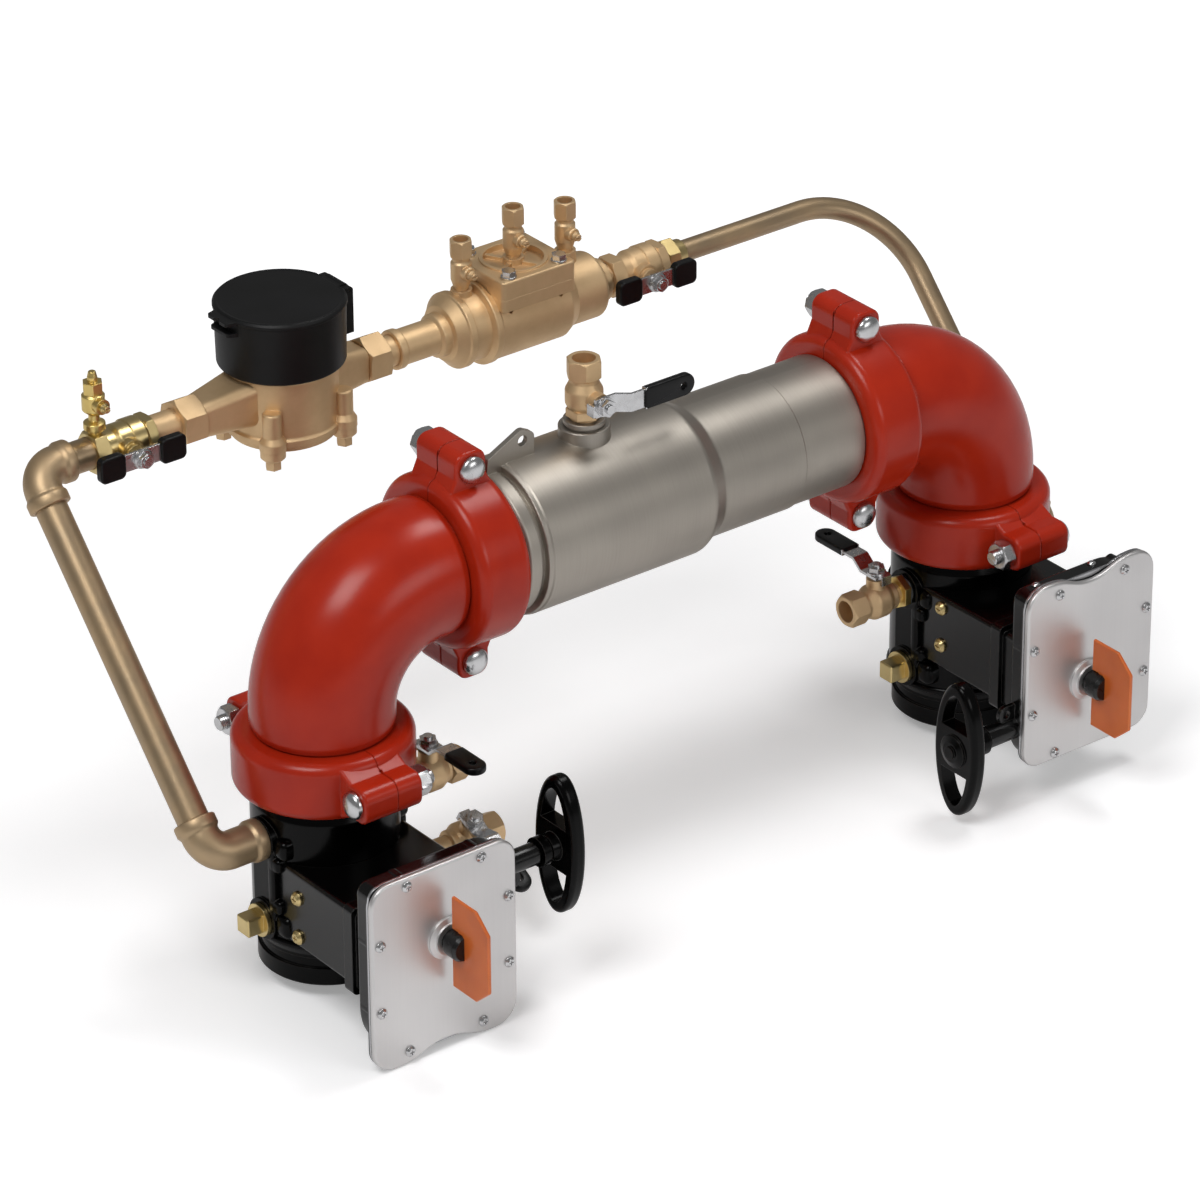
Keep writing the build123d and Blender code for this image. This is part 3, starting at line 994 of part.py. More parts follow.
def build():
    os.makedirs("parts", exist_ok=True)
    inlet = Pos(0, 0, STEM_Z)
    outlet = Pos(AXIS_SPACING, 0, STEM_Z)
    operators = (inlet, outlet * Rot(0, 180, 0))

    write("inlet_valve_body", inlet * valve_body(False))
    write("outlet_valve_body", outlet * valve_body(True))
    write("valve_seats", *[place * seat_ring() for place in (inlet, outlet)])
    write("inlet_elbow", Pos(0, 0, RUN_Z) * elbow())
    write("outlet_elbow", Pos(AXIS_SPACING, 0, RUN_Z) * Rot(0, 0, 180) * elbow())

    fasteners, gaskets = [], []
    for name, place, *sizes in joint_places():
        write(name, place * coupling(*sizes))
        fasteners += [place * piece for piece in coupling_fasteners(*sizes)]
        gaskets.append(place * gasket())
    write("coupling_bolts", *fasteners)
    seals = [place * cover_seal() for place in operators]
    write("gaskets", *gaskets, *seals)

    for name, place in zip(("inlet", "outlet"), operators):
        write(f"{name}_stem", *[place * piece for piece in stem()])
        write(f"{name}_disc", place * disc())
        write(f"{name}_flag", place * flag())
        write(f"{name}_handwheel", *[place * piece for piece in hand_wheel()])
    write("gear_housings", *[place * gear_housing() for place in operators])
    write("gear_covers", *[place * piece for place in operators for piece in (cover_plate(), bush())])
    write("cover_screws", *[place * screw for place in operators for screw in cover_screws()])
    write("bracket_screws", *[place * screw for place in operators for screw in bracket_screws()])

    write("check_housing", check_housing())
    write("check_seats", *[piece for x in CHECK_X for piece in check_seat(x)])
    for name, x in zip(("first_clapper", "second_clapper"), CHECK_X):
        write(name, clapper(x))

    bodies = []
    for name, (place, offset, reach) in cock_places().items():
        bodies.append(place * cock_body(offset))
        write(f"{name}_cock_lever", place * Pos(offset, 0, 0) * lever(reach))
    write("lever_cock_bodies", *bodies)

    up, length = drop_direction()
    inlet_corner = (INLET_DROP_X, BYPASS_Y, BYPASS_Z)
    inlet_port = (INLET_DROP_X, 0, STEM_Z + PORT_Z)
    outlet_port = (OUTLET_DROP_X, 0, STEM_Z + PORT_Z)
    down = tuple(-a for a in up)
    into_inlet = -PORT_FACE - INLET_DROP_X
    into_outlet = OUTLET_DROP_X - AXIS_SPACING - PORT_FACE
    write("bypass_elbows",
          fitting_elbow(inlet_corner, (1, 0, 0), down),
          fitting_elbow(inlet_port, up, (1, 0, 0), last=into_inlet - FIT),
          fitting_elbow(outlet_port, up, (-1, 0, 0), last=into_outlet - FIT))
    write("bypass_riser_pipe", riser_pipe(up, length), *stub_pipes(into_inlet, into_outlet))
    write("inlet_ball_valve", ball_valve(INLET_BALL_X))
    write("outlet_ball_valve", ball_valve(OUTLET_BALL_X))
    for name, x in (("inlet", INLET_BALL_X), ("outlet", OUTLET_BALL_X)):
        write(f"{name}_tee_handle", tee_handle(x))
        write(f"{name}_tee_grips", *tee_grips(x))
    write("meter_unions", *meter_unions())
    write("meter_body", meter_body())
    write("meter_bottom_plate", meter_plate())
    write("meter_bolts", *meter_bolts())
    write("register_shroud", register_shroud())
    write("register_dial", register_dial())
    lid, pin = register_lid()
    write("register_lid", lid, pin)
    write("bypass_check_body", bypass_check_body(), *poppet_seat(318), *poppet_seat(388))
    write("bypass_check_bonnet", bypass_bonnet())
    write("bonnet_bolts", *bonnet_bolts())
    write("first_poppet", poppet(318))
    write("second_poppet", poppet(388))
    first, last = side_cock_places()
    cocks = [first, (BONNET_X, BONNET_TOP + 2), last]
    write("bypass_test_cocks", *[test_cock(x, base) for x, base in cocks], flare_cock())
    for number, (x, base) in enumerate(cocks, 1):
        write(f"test_cock_screw_{number}", cock_screw((x, BYPASS_Y - 13, BYPASS_Z + base + 17)))
    write("flare_cock_screw", cock_screw((INLET_BALL_X - 22, BYPASS_Y - 14, BYPASS_Z + BYPASS_HEX / 2 + 28 + FIT / 2)))
    nut_start = OUTLET_BALL_X + BALL_HALF + FIT / 2
    end = Vector(*outlet_port) + Vector(*up) * (FITTING_REACH + 1)
    write("compression_nuts", compression_nut((nut_start, BYPASS_Y, BYPASS_Z), (1, 0, 0)),
          compression_nut(tuple(end), up))
    write("return_tube", return_tube())
    low_ports = ((-PORT_FACE, -1), (AXIS_SPACING - PORT_FACE, -1), (AXIS_SPACING + PORT_FACE, 1))
    write("pipe_plugs", *[square_plug((x, 0, STEM_Z - PORT_Z), side) for x, side in low_ports])


def riser_pipe(up, length):
    """Pipe between the two inlet elbows, seated in both sockets."""
    seat = FITTING_REACH - FITTING_DEPTH + FIT
    foot = Vector(INLET_DROP_X, 0, STEM_Z + PORT_Z)
    direction = Vector(*up)
    return pipe(tuple(foot + direction * seat), tuple(foot + direction * (length - seat)), BYPASS_PIPE_R, 2.9)


def stub_pipes(into_inlet, into_outlet):
    """Short nipples between fittings."""
    seat = FITTING_DEPTH - FIT
    z = STEM_Z + PORT_Z
    nipples = [pipe((INLET_DROP_X + FITTING_REACH - seat, BYPASS_Y, BYPASS_Z),
                    (INLET_BALL_X - BALL_HALF + 12 - FIT, BYPASS_Y, BYPASS_Z), BYPASS_PIPE_R, 2.9)]
    for corner, direction, reach in ((INLET_DROP_X, 1, into_inlet), (OUTLET_DROP_X, -1, into_outlet)):
        start = corner + direction * (reach - seat)
        nipples.append(pipe((start, 0, z), (corner + direction * (reach + 12), 0, z), PORT_R - FIT, 2.5))
    return nipples


def meter_unions():
    """Union nuts and the tailpieces that they clamp."""
    tails = [pipe((INLET_BALL_X + BALL_HALF - 12 + FIT, BYPASS_Y, BYPASS_Z), (SPUD_START - FIT, BYPASS_Y, BYPASS_Z),
                  BYPASS_PIPE_R, 3.5),
             pipe((SPUD_END + FIT, BYPASS_Y, BYPASS_Z), (CHECK_BODY_START + FITTING_DEPTH - FIT, BYPASS_Y, BYPASS_Z),
                  BYPASS_PIPE_R, 3.5)]
    nuts = [union_nut(SPUD_START - 22 - FIT), union_nut(SPUD_END + FIT)]
    return tails + nuts


build()
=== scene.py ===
import json
import math
import bmesh
import bpy
import numpy as np
from mathutils import Matrix, Vector


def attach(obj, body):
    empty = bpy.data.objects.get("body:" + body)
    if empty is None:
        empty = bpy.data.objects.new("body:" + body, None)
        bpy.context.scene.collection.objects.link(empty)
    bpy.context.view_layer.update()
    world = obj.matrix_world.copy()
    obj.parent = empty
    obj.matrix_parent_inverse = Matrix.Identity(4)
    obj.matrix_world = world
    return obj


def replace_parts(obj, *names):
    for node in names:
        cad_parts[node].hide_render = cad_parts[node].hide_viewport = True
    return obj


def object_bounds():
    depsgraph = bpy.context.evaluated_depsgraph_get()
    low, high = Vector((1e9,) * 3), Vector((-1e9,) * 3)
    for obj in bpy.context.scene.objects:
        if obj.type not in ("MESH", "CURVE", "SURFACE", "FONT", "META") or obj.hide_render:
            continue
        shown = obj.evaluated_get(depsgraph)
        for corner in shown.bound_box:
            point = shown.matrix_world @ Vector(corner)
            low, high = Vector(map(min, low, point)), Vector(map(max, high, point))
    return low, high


# Double check detector assembly: materials, small pieces, studio and camera

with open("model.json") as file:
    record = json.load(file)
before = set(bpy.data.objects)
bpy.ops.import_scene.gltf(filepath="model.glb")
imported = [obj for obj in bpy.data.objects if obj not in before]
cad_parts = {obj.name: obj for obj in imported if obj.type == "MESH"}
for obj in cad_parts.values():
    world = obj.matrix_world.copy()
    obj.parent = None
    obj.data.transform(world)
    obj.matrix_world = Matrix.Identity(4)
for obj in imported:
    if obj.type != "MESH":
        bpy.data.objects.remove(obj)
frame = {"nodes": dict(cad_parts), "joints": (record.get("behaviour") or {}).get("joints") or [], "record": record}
nodes = frame["nodes"]
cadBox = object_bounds()
print("frame loaded,", len(nodes), "nodes")


# camera at the photograph's place, fitted from the 114.3 mm pipe: metres, degrees and millimetres of lens

cameraView = {"place": (-2.44363, -3.51878, 2.6438), "yaw": -37.71, "pitch": -28.53, "roll": -0.28,
              "lens": 187.33, "sensor": 36, "clip": (0.1, 40)}


def makeCamera(view):
    yaw, pitch, roll = (math.radians(view[k]) for k in ("yaw", "pitch", "roll"))
    ahead = Vector((-math.sin(yaw) * math.cos(pitch), math.cos(yaw) * math.cos(pitch), math.sin(pitch)))
    level = ahead.cross(Vector((0, 0, 1))).normalized()
    upright = level.cross(ahead)
    right = level * math.cos(roll) + upright * math.sin(roll)
    up = upright * math.cos(roll) - level * math.sin(roll)
    camera = bpy.data.objects.new("camera", bpy.data.cameras.new("camera"))
    turned = Matrix((right, up, -ahead)).transposed().to_4x4()
    camera.matrix_world = Matrix.Translation(view["place"]) @ turned
    camera.data.lens, camera.data.sensor_width = view["lens"], view["sensor"]
    camera.data.clip_start, camera.data.clip_end = view["clip"]
    bpy.context.scene.collection.objects.link(camera)
    bpy.context.scene.camera = camera


makeCamera(cameraView)
bpy.context.scene.view_settings.view_transform = "Standard"
print("camera set")


# shader graphs: a socket that can be added, scaled and subtracted in an expression

class Value:
    def __init__(self, graph, socket):
        self.graph, self.socket = graph, socket

    def __add__(self, other):
        return self.graph.maths("ADD", self, other)

    def __sub__(self, other):
        return self.graph.maths("SUBTRACT", self, other)

    def __rsub__(self, other):
        return self.graph.maths("SUBTRACT", other, self)

    def __mul__(self, other):
        return self.graph.maths("MULTIPLY", self, other)

    __radd__ = __add__
    __rmul__ = __mul__


class Graph:
    def __init__(self, tree):
        self.tree = tree
        tree.nodes.clear()

    def node(self, kind, settings=None, values=None, out=0):
        made = self.tree.nodes.new("ShaderNode" + kind)
        for key, value in (settings or {}).items():
            if key == "stops":
                self.setStops(made.color_ramp, value)
            else:
                setattr(made, key, value)
        for key, value in (values or {}).items():
            shown = [s for s in made.inputs if s.enabled]
            socket = shown[key] if isinstance(key, int) else next(s for s in shown if s.name == key)
            if isinstance(value, Value):
                self.tree.links.new(value.socket, socket)
            else:
                socket.default_value = value
        shown = [s for s in made.outputs if s.enabled]
        socket = shown[out] if isinstance(out, int) else next(s for s in shown if s.name == out)
        return Value(self, socket)

    def setStops(self, ramp, stops):
        while len(ramp.elements) < len(stops):
            ramp.elements.new(0.5)
        for element, (place, level) in zip(ramp.elements, stops):
            element.position = place
            element.color = (level, level, level, 1)

    def maths(self, operation, a, b):
        return self.node("Math", {"operation": operation}, {0: a, 1: b})

    # place along one axis of the object
    def along(self, axis):
        return self.node("SeparateXYZ", {}, {"Vector": self.place()}, out=axis)

    # distance from an upright line: root of the sum of both squares
    def awayFrom(self, line):
        across, away = (self.along(axis) - place for axis, place in zip("XY", line))
        return self.maths("POWER", across * across + away * away, 0.5)

    # 0 below the low value, 1 above the high one, straight between them
    def step(self, value, low, high):
        return self.node("MapRange", {"clamp": True}, {"Value": value, "From Min": low, "From Max": high})

    # grey levels at places from 0 to 1
    def ramp(self, value, *stops):
        return self.node("ValToRGB", {"stops": stops}, {"Fac": value})

    def mix(self, amount, a, b):
        return self.node("Mix", {"data_type": "RGBA"}, {"Factor": amount, "A": a, "B": b})

    def place(self, scale=(1, 1, 1)):
        here = self.node("TexCoord", out="Object")
        if scale == (1, 1, 1):
            return here
        return self.node("Mapping", {}, {"Vector": here, "Scale": scale})

    def noise(self, scale, detail=2.0, rough=0.5, stretch=(1, 1, 1)):
        values = {"Vector": self.place(stretch), "Scale": scale, "Detail": detail, "Roughness": rough}
        return self.node("TexNoise", {}, values)

    # patches of noise: nothing below the low level, all above the high one
    def patches(self, scale, detail, low, high, rough=0.5):
        return self.ramp(self.noise(scale, detail, rough), (low, 0), (high, 1))


# linear colour of a 0 to 255 screen colour
def tint(red, green, blue):
    levels = [c / 255 for c in (red, green, blue)]
    return tuple(c / 12.92 if c <= 0.04045 else ((c + 0.055) / 1.055) ** 2.4 for c in levels) + (1.0,)


def newMaterial(name):
    material = bpy.data.materials.new(name)
    material.use_nodes = True
    return material, Graph(material.node_tree)


def finishMaterial(material, graph, values):
    shader = graph.node("BsdfPrincipled", {}, values)
    end = graph.tree.nodes.new("ShaderNodeOutputMaterial")
    graph.tree.links.new(shader.socket, end.inputs["Surface"])
    return material


# normal that turns over an edge, as a painted, cast or worn edge does
def softEdge(graph, radius):
    return graph.node("Bevel", {"samples": 4}, {"Radius": radius})


# fine relief on top of the soft edges; a look's dent is its depth in metres and its strength
def relief(graph, height, look, edge=None):
    depth, strength = look["dent"]
    values = {"Height": height, "Distance": depth, "Strength": strength}
    values["Normal"] = edge or softEdge(graph, look["edge"])
    return graph.node("Bump", {}, values)


# 1 where the soft edge leans away from the face it is on, so on edges and corners alone
def edgeWear(graph, edge, low=0.004, high=0.12):
    face = graph.node("NewGeometry", out="Normal")
    along = graph.node("VectorMath", {"operation": "DOT_PRODUCT"}, {0: edge, 1: face}, out="Value")
    return graph.step(1 - along, low, high)


# painted highlight on the edges, lightened in patches like rubbed wear, that comes and goes along their length
def rubbedEdge(graph, edge, scale):
    return edgeWear(graph, edge) * graph.ramp(graph.noise(scale, 3), (0.3, 0.25), (0.7, 1))


# 1 between two places along one axis, with a short soft step at both ends
def band(graph, axis, low, high, soft=0.0002):
    along = graph.along(axis)
    return graph.step(along, low - soft, low + soft) * (1 - graph.step(along, high - soft, high + soft))


# finishes of the paints, metals and plastics: patch is a noise's scale and detail, the two levels of its patches and
# its roughness where that isn't a half; edge is the radius of the soft edges in metres

def redPaint():
    look = {"colour": tint(170, 40, 17), "deep": tint(149, 28, 10), "patch": (28, 3, 0.35, 0.7), "wave": 28,
            "fleck": 900, "edge": 0.0014, "dent": (0.0006, 0.3)}
    material, g = newMaterial("glossRedPaint")
    clouded = g.patches(*look["patch"])
    height = g.noise(look["wave"], 2) + g.noise(look["fleck"], 2) * 0.02
    return finishMaterial(material, g, {
        "Base Color": g.mix(clouded * 0.5, look["colour"], look["deep"]),
        "Roughness": 0.25 + 0.02 * clouded,
        "Specular IOR Level": 0.27,
        "Normal": relief(g, height, look)})


def brushedTube():
    look = {"colour": tint(178, 171, 161), "dark": tint(153, 147, 139), "lines": 900, "cloud": 9, "tarnish": 3,
            "edge": 0.0008, "dent": (0.00008, 0.1)}
    material, g = newMaterial("brushedStainless")
    lines = g.noise(look["lines"], 3, 0.6, (1, 0.02, 0.02))
    cloud = g.noise(look["cloud"], 3)
    wearAndSheen = g.ramp(cloud * 0.7 + lines * 0.15 + g.noise(look["tarnish"], 2) * 0.3, (0.4, 0), (0.8, 1))
    return finishMaterial(material, g, {
        "Base Color": g.mix(wearAndSheen, look["colour"], look["dark"]),
        "Metallic": 1.0,
        "Roughness": 0.40 + 0.06 * lines + 0.08 * cloud,
        "Normal": relief(g, lines, look)})


bronze = {"colour": tint(226, 195, 152), "dark": tint(198, 167, 126), "pale": tint(206, 184, 156),
          "brass": tint(226, 199, 126), "zinc": tint(222, 221, 216), "metallic": 0.84, "rough": 0.48,
          "patch": (30, 4, 0.35, 0.7, 0.6), "grain": 1100, "edge": 0.001, "dent": (0.0003, 0.14)}


# patches, grain and mottled colour of bronze
def bronzeSkin(graph, colour):
    cloud = graph.patches(*bronze["patch"])
    grain = graph.noise(bronze["grain"], 3, 0.7)
    return cloud, grain, graph.mix(cloud * 0.4 + grain * 0.15, colour, bronze["dark"])


# cast bronze at a level of brightness, blended by a share with the paler metal of pipes
def castBronze(name="castBronze", level=1.0, blend=0.0, rough=bronze["rough"]):
    pairs = zip(bronze["colour"][:3], bronze["pale"])
    colour = tuple(level * (c * (1 - blend) + p * blend) for c, p in pairs) + (1,)
    material, g = newMaterial(name)
    cloud, grain, mottled = bronzeSkin(g, colour)
    return finishMaterial(material, g, {
        "Base Color": mottled,
        "Metallic": bronze["metallic"],
        "Roughness": rough + 0.07 * cloud + 0.05 * grain,
        "Normal": relief(g, grain, bronze)})


# cast bronze with turned parts between places along X: brass first, then zinc
def turnedBronze(name, brass, zinc=None):
    material, g = newMaterial(name)
    cloud, grain, mottled = bronzeSkin(g, bronze["colour"])
    turned = band(g, "X", *brass)
    colour = g.mix(turned, mottled, bronze["brass"])
    if zinc:
        washer = band(g, "X", *zinc)
        colour, turned = g.mix(washer, colour, bronze["zinc"]), turned + washer
    return finishMaterial(material, g, {
        "Base Color": colour,
        "Metallic": bronze["metallic"] + (1 - bronze["metallic"]) * turned,
        "Roughness": bronze["rough"] + 0.07 * cloud - 0.18 * turned,
        "Normal": relief(g, grain, bronze)})


def polishedBrass():
    look = {"colour": tint(218, 196, 140), "dark": tint(176, 152, 102), "lines": 700, "patch": (30, 3, 0.4, 0.75),
            "edge": 0.0009, "dent": (0.00005, 0.05)}
    material, g = newMaterial("polishedBrass")
    lines = g.noise(look["lines"], 2, 0.5, (1, 0.05, 0.05))
    cloud = g.patches(*look["patch"])
    return finishMaterial(material, g, {
        "Base Color": g.mix(cloud * 0.5, look["colour"], look["dark"]),
        "Metallic": 1.0,
        "Roughness": 0.26 + 0.08 * cloud + 0.04 * lines,
        "Normal": relief(g, lines, look)})


def blackPaint():
    look = {"colour": tint(2, 2, 2), "rubbedSheen": tint(58, 56, 54), "cast": 60, "sheenPatchScale": 30, "edge": 0.0013,
            "dent": (0.0003, 0.1)}
    material, g = newMaterial("blackPaint")
    edge = softEdge(g, look["edge"])
    cast = g.noise(look["cast"], 2, 0.5)
    # painted highlight: the edges are lightened to grey in patches, a highlight line that shows under any light,
    # patchy like rubbed wear
    wearAndSheen = rubbedEdge(g, edge, look["sheenPatchScale"])
    return finishMaterial(material, g, {
        "Base Color": g.mix(wearAndSheen, look["colour"], look["rubbedSheen"]),
        "Roughness": 0.17 + 0.05 * cast + 0.1 * wearAndSheen,
        "Specular IOR Level": 0.13,
        "Normal": relief(g, cast, look, edge)})


# black paint of the gear cases, with the bare steel flange behind each cover and a painted highlight of grey along
# the edges
def casePaint():
    look = {"colour": tint(3, 3, 3), "rubbedSheen": tint(66, 64, 62), "steel": tint(196, 196, 198), "sheenPatchScale": 30,
            "flange": (-0.1568, -0.1547), "cast": 50, "edge": 0.0012, "dent": (0.0001, 0.05)}
    material, g = newMaterial("casePaint")
    flange = band(g, "Y", *look["flange"])
    edge = softEdge(g, look["edge"])
    cast = g.noise(look["cast"], 2, 0.5)
    # painted highlight: the edges are lightened to grey in patches, a highlight line that shows under any light,
    # patchy like rubbed wear
    wearAndSheen = rubbedEdge(g, edge, look["sheenPatchScale"])
    return finishMaterial(material, g, {
        "Base Color": g.mix(flange, g.mix(wearAndSheen, look["colour"], look["rubbedSheen"]), look["steel"]),
        "Metallic": flange,
        "Roughness": 0.18 + 0.05 * cast + 0.1 * wearAndSheen + 0.06 * flange,
        "Specular IOR Level": 0.4,
        "Normal": relief(g, cast, look, edge)})


def satinPlate():
    look = {"colour": tint(220, 218, 217), "dark": tint(198, 196, 196), "lines": 700, "patch": (9, 2, 0.35, 0.75),
            "edge": 0.0009, "dent": (0.00003, 0.03)}
    material, g = newMaterial("satinPlate")
    lines = g.noise(look["lines"], 2, 0.5, (1, 1, 0.02))
    cloud = g.patches(*look["patch"])
    return finishMaterial(material, g, {
        "Base Color": g.mix(cloud * 0.6 + lines * 0.15, look["colour"], look["dark"]),
        "Metallic": 1.0,
        "Roughness": 0.42 + 0.02 * lines + 0.05 * cloud,
        "Normal": relief(g, lines, look)})


def brightSteel():
    look = {"colour": tint(208, 208, 209), "dark": tint(150, 149, 148), "patch": (90, 3, 0.4, 0.8), "fine": 500,
            "edge": 0.0006, "dent": (0.0001, 0.1)}
    material, g = newMaterial("brightSteel")
    cloud = g.patches(*look["patch"])
    return finishMaterial(material, g, {
        "Base Color": g.mix(cloud * 0.4, look["colour"], look["dark"]),
        "Metallic": 1.0,
        "Roughness": 0.23 + 0.1 * cloud,
        "Normal": relief(g, g.noise(look["fine"], 2), look)})


# steel stem whose end in front of the cover is painted black
def stemSteel():
    look = {"front": -0.1615, "soft": 0.0002, "steel": tint(196, 196, 197), "paint": tint(9, 9, 9), "cloud": 60,
            "edge": 0.001, "dent": (0.0003, 0.2)}
    material, g = newMaterial("stemSteel")
    painted = 1 - g.step(g.along("Y"), look["front"] - look["soft"], look["front"] + look["soft"])
    cloud = g.noise(look["cloud"], 2)
    return finishMaterial(material, g, {
        "Base Color": g.mix(painted, look["steel"], look["paint"]),
        "Metallic": 1 - painted,
        "Roughness": 0.22 + 0.1 * cloud,
        "Normal": relief(g, cloud, look)})


# black plastic, vinyl or rubber at a grey level, with a finer or coarser skin
def mouldedPlastic(name="mouldedPlastic", level=10, rough=0.42, grain=1500):
    look = {"colour": tint(level, level, level), "pale": tint(level + 8, level + 8, level + 9),
            "patch": (22, 2, 0.3, 0.9), "edge": 0.001, "dent": (0.00015, 0.12)}
    material, g = newMaterial(name)
    skin = g.noise(grain, 2, 0.5)
    return finishMaterial(material, g, {
        "Base Color": g.mix(g.patches(*look["patch"]), look["colour"], look["pale"]),
        "Roughness": rough + 0.08 * skin,
        "Specular IOR Level": 0.24,
        "Normal": relief(g, skin, look)})


def flagPlastic():
    look = {"colour": tint(208, 104, 40), "deep": tint(186, 86, 30), "rim": tint(244, 140, 62),
            "patch": (25, 2, 0.35, 0.75), "skin": 900, "wave": 200, "edge": 0.0012, "dent": (0.0001, 0.15)}
    material, g = newMaterial("flagPlastic")
    edge = softEdge(g, look["edge"])
    flat = g.mix(g.patches(*look["patch"]), look["colour"], look["deep"])
    return finishMaterial(material, g, {
        # painted highlight: the flag's edges are painted a paler orange, as lit edges look
        "Base Color": g.mix(edgeWear(g, edge), flat, look["rim"]),
        "Roughness": 0.28 + 0.06 * g.noise(look["skin"], 2),
        "Subsurface Weight": 0.2, "Subsurface Scale": 0.003,
        "Coat Weight": 0.2, "Coat Roughness": 0.1,
        "Normal": relief(g, g.noise(look["wave"], 2), look, edge)})


# pale dial with a dark bezel outside the face's radius
def dialFace():
    look = {"colour": tint(226, 225, 218), "shade": tint(206, 204, 195), "bezel": tint(24, 24, 24),
            "middle": (0.129, 0.229), "face": 0.0432, "soft": 0.0003, "cloud": 60}
    material, g = newMaterial("dialFace")
    cloud = g.noise(look["cloud"], 3)
    bezel = g.step(g.awayFrom(look["middle"]), look["face"], look["face"] + look["soft"])
    return finishMaterial(material, g, {
        "Base Color": g.mix(bezel, g.mix(cloud * 0.5, look["colour"], look["shade"]), look["bezel"]),
        "Roughness": 0.3 + 0.1 * cloud,
        "Coat Weight": 0.4, "Coat Roughness": 0.05})


def printedInk():
    look = {"colour": tint(22, 22, 24), "wearAndSheen": tint(48, 48, 50), "fade": 400, "skin": 300}
    material, g = newMaterial("printedInk")
    return finishMaterial(material, g, {
        "Base Color": g.mix(g.noise(look["fade"], 2) * 0.4, look["colour"], look["wearAndSheen"]),
        "Roughness": 0.45 + 0.1 * g.noise(look["skin"], 2)})


# one finish for each slot of the record
looks = {
    "red_paint": redPaint(), "stainless": brushedTube(), "bronze": castBronze(), "brass": polishedBrass(),
    "black_iron": blackPaint(), "case_iron": casePaint(), "cover_steel": satinPlate(),
    "bright_steel": brightSteel(), "rubber": mouldedPlastic("blackRubber", 8, 0.6),
    "black_plastic": mouldedPlastic(), "vinyl": mouldedPlastic("dippedVinyl", 5, 0.28, 700),
    "dial": dialFace(), "flag_plastic": flagPlastic(), "inner_bronze": castBronze("innerBronze"),
}
drawnPipe = castBronze("drawnPipe", 0.53, 0.55, 0.36)
hubSteel = stemSteel()
# nodes whose finish differs from their slot's plain one
ownLooks = {
    "return_tube": drawnPipe,
    "bypass_riser_pipe": drawnPipe,
    "bypass_elbows": castBronze("pipeFitting", 0.62, 0.4, 0.42),
    "inlet_stem": hubSteel,
    "outlet_stem": hubSteel,
    "lever_cock_bodies": turnedBronze("cockBronze", brass=(0.5925, 0.5992), zinc=(0.5992, 0.604)),
    "bypass_test_cocks": turnedBronze("testCockBronze", brass=(-0.2, 0.05)),
}
print("materials made")


# CAD nodes get their finish from the record's slot

def dressNodes():
    slots = {part["node"]: part["material_slot"] for part in frame["record"]["subparts"]}
    for name, node in nodes.items():
        node.data.materials.clear()
        node.data.materials.append(ownLooks.get(name, looks[slots[name]]))


dressNodes()
print("nodes dressed")


# surfaces: grids of points with rows and columns, closed where they come round

weld = 1e-7  # points nearer than this, in metres, are one point


# a mesh made a piece of the scene, on its body and with its slot's finish or its own
def addPiece(name, mesh, body, slot, finish=None):
    mesh.materials.append(finish or looks[slot])
    piece = bpy.data.objects.new(name, mesh)
    bpy.context.scene.collection.objects.link(piece)
    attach(piece, body)
    return piece


# mesh of one or more grids of points, one quad between each four neighbours, with poles and seams closed
def surface(name, grids, body, slot, rowsMeet=True, columnsMeet=True, sharp=None, finish=None):
    points, faces, first = [], [], 0
    for grid in grids if isinstance(grids, list) else [grids]:
        rows, columns = grid.shape[:2]
        index = first + np.arange(rows * columns).reshape(rows, columns)
        first += rows * columns
        if rowsMeet:
            index = np.vstack([index, index[:1]])
        if columnsMeet:
            index = np.hstack([index, index[:, :1]])
        quads = np.stack([index[:-1, :-1], index[1:, :-1], index[1:, 1:], index[:-1, 1:]], -1)
        points.append(grid.reshape(-1, 3))
        faces.append(quads.reshape(-1, 4))
    mesh = bpy.data.meshes.new(name)
    mesh.from_pydata(np.vstack(points).tolist(), [], np.vstack(faces).tolist())
    closed = bmesh.new()
    closed.from_mesh(mesh)
    bmesh.ops.remove_doubles(closed, verts=closed.verts, dist=weld)
    closed.to_mesh(mesh)
    closed.free()
    mesh.shade_smooth()
    if sharp:
        mesh.set_sharp_from_angle(angle=math.radians(sharp))
    return addPiece(name, mesh, body, slot, finish)


# points in a piece's own frame, carried to the shared frame by its origin and its three axes
def carried(points, origin, xAxis, yAxis, zAxis):
    return np.asarray(origin) + points @ np.array([xAxis, yAxis, zAxis], float)


# vinyl sleeves dipped on the four cock levers, a plate with one hole

# start is how far the mouth is from the spindle, tip and holeInset are from the lever's end, and middle is the
# height of the sleeve's middle above the axis of the flow
sleeve = {"start": 0.0335, "half": 0.0096, "tip": 0.0089, "middle": 0.03375, "thick": 0.0033, "hole": 0.0031,
          "holeInset": 0.011, "edge": 0.0017, "lip": 0.0007, "mouth": 0.0022}
# reach is how far a lever's end is from its spindle
levers = [
    {"name": "inletUpperSleeve", "joint": "inlet_upper_lever_turn", "flow": (1, 0, 0), "reach": 0.071},
    {"name": "inletLowerSleeve", "joint": "inlet_lower_lever_turn", "flow": (1, 0, 0), "reach": 0.076},
    {"name": "outletSleeve", "joint": "outlet_lever_turn", "flow": (-1, 0, 0), "reach": 0.075},
    {"name": "housingSleeve", "joint": "housing_lever_turn", "flow": (0, 0, 1), "reach": 0.083},
]
joints = {joint["name"]: joint for joint in frame["joints"]}


# frame of a cock: x along its flow, z along its spindle, from the axis of the flow, a rise below the joint
def cockFrame(joint, flow, rise=0.022):
    spindle = np.array(joint["axis"])
    return np.array(joint["pos_m"]) - rise * spindle, flow, np.cross(spindle, flow), spindle


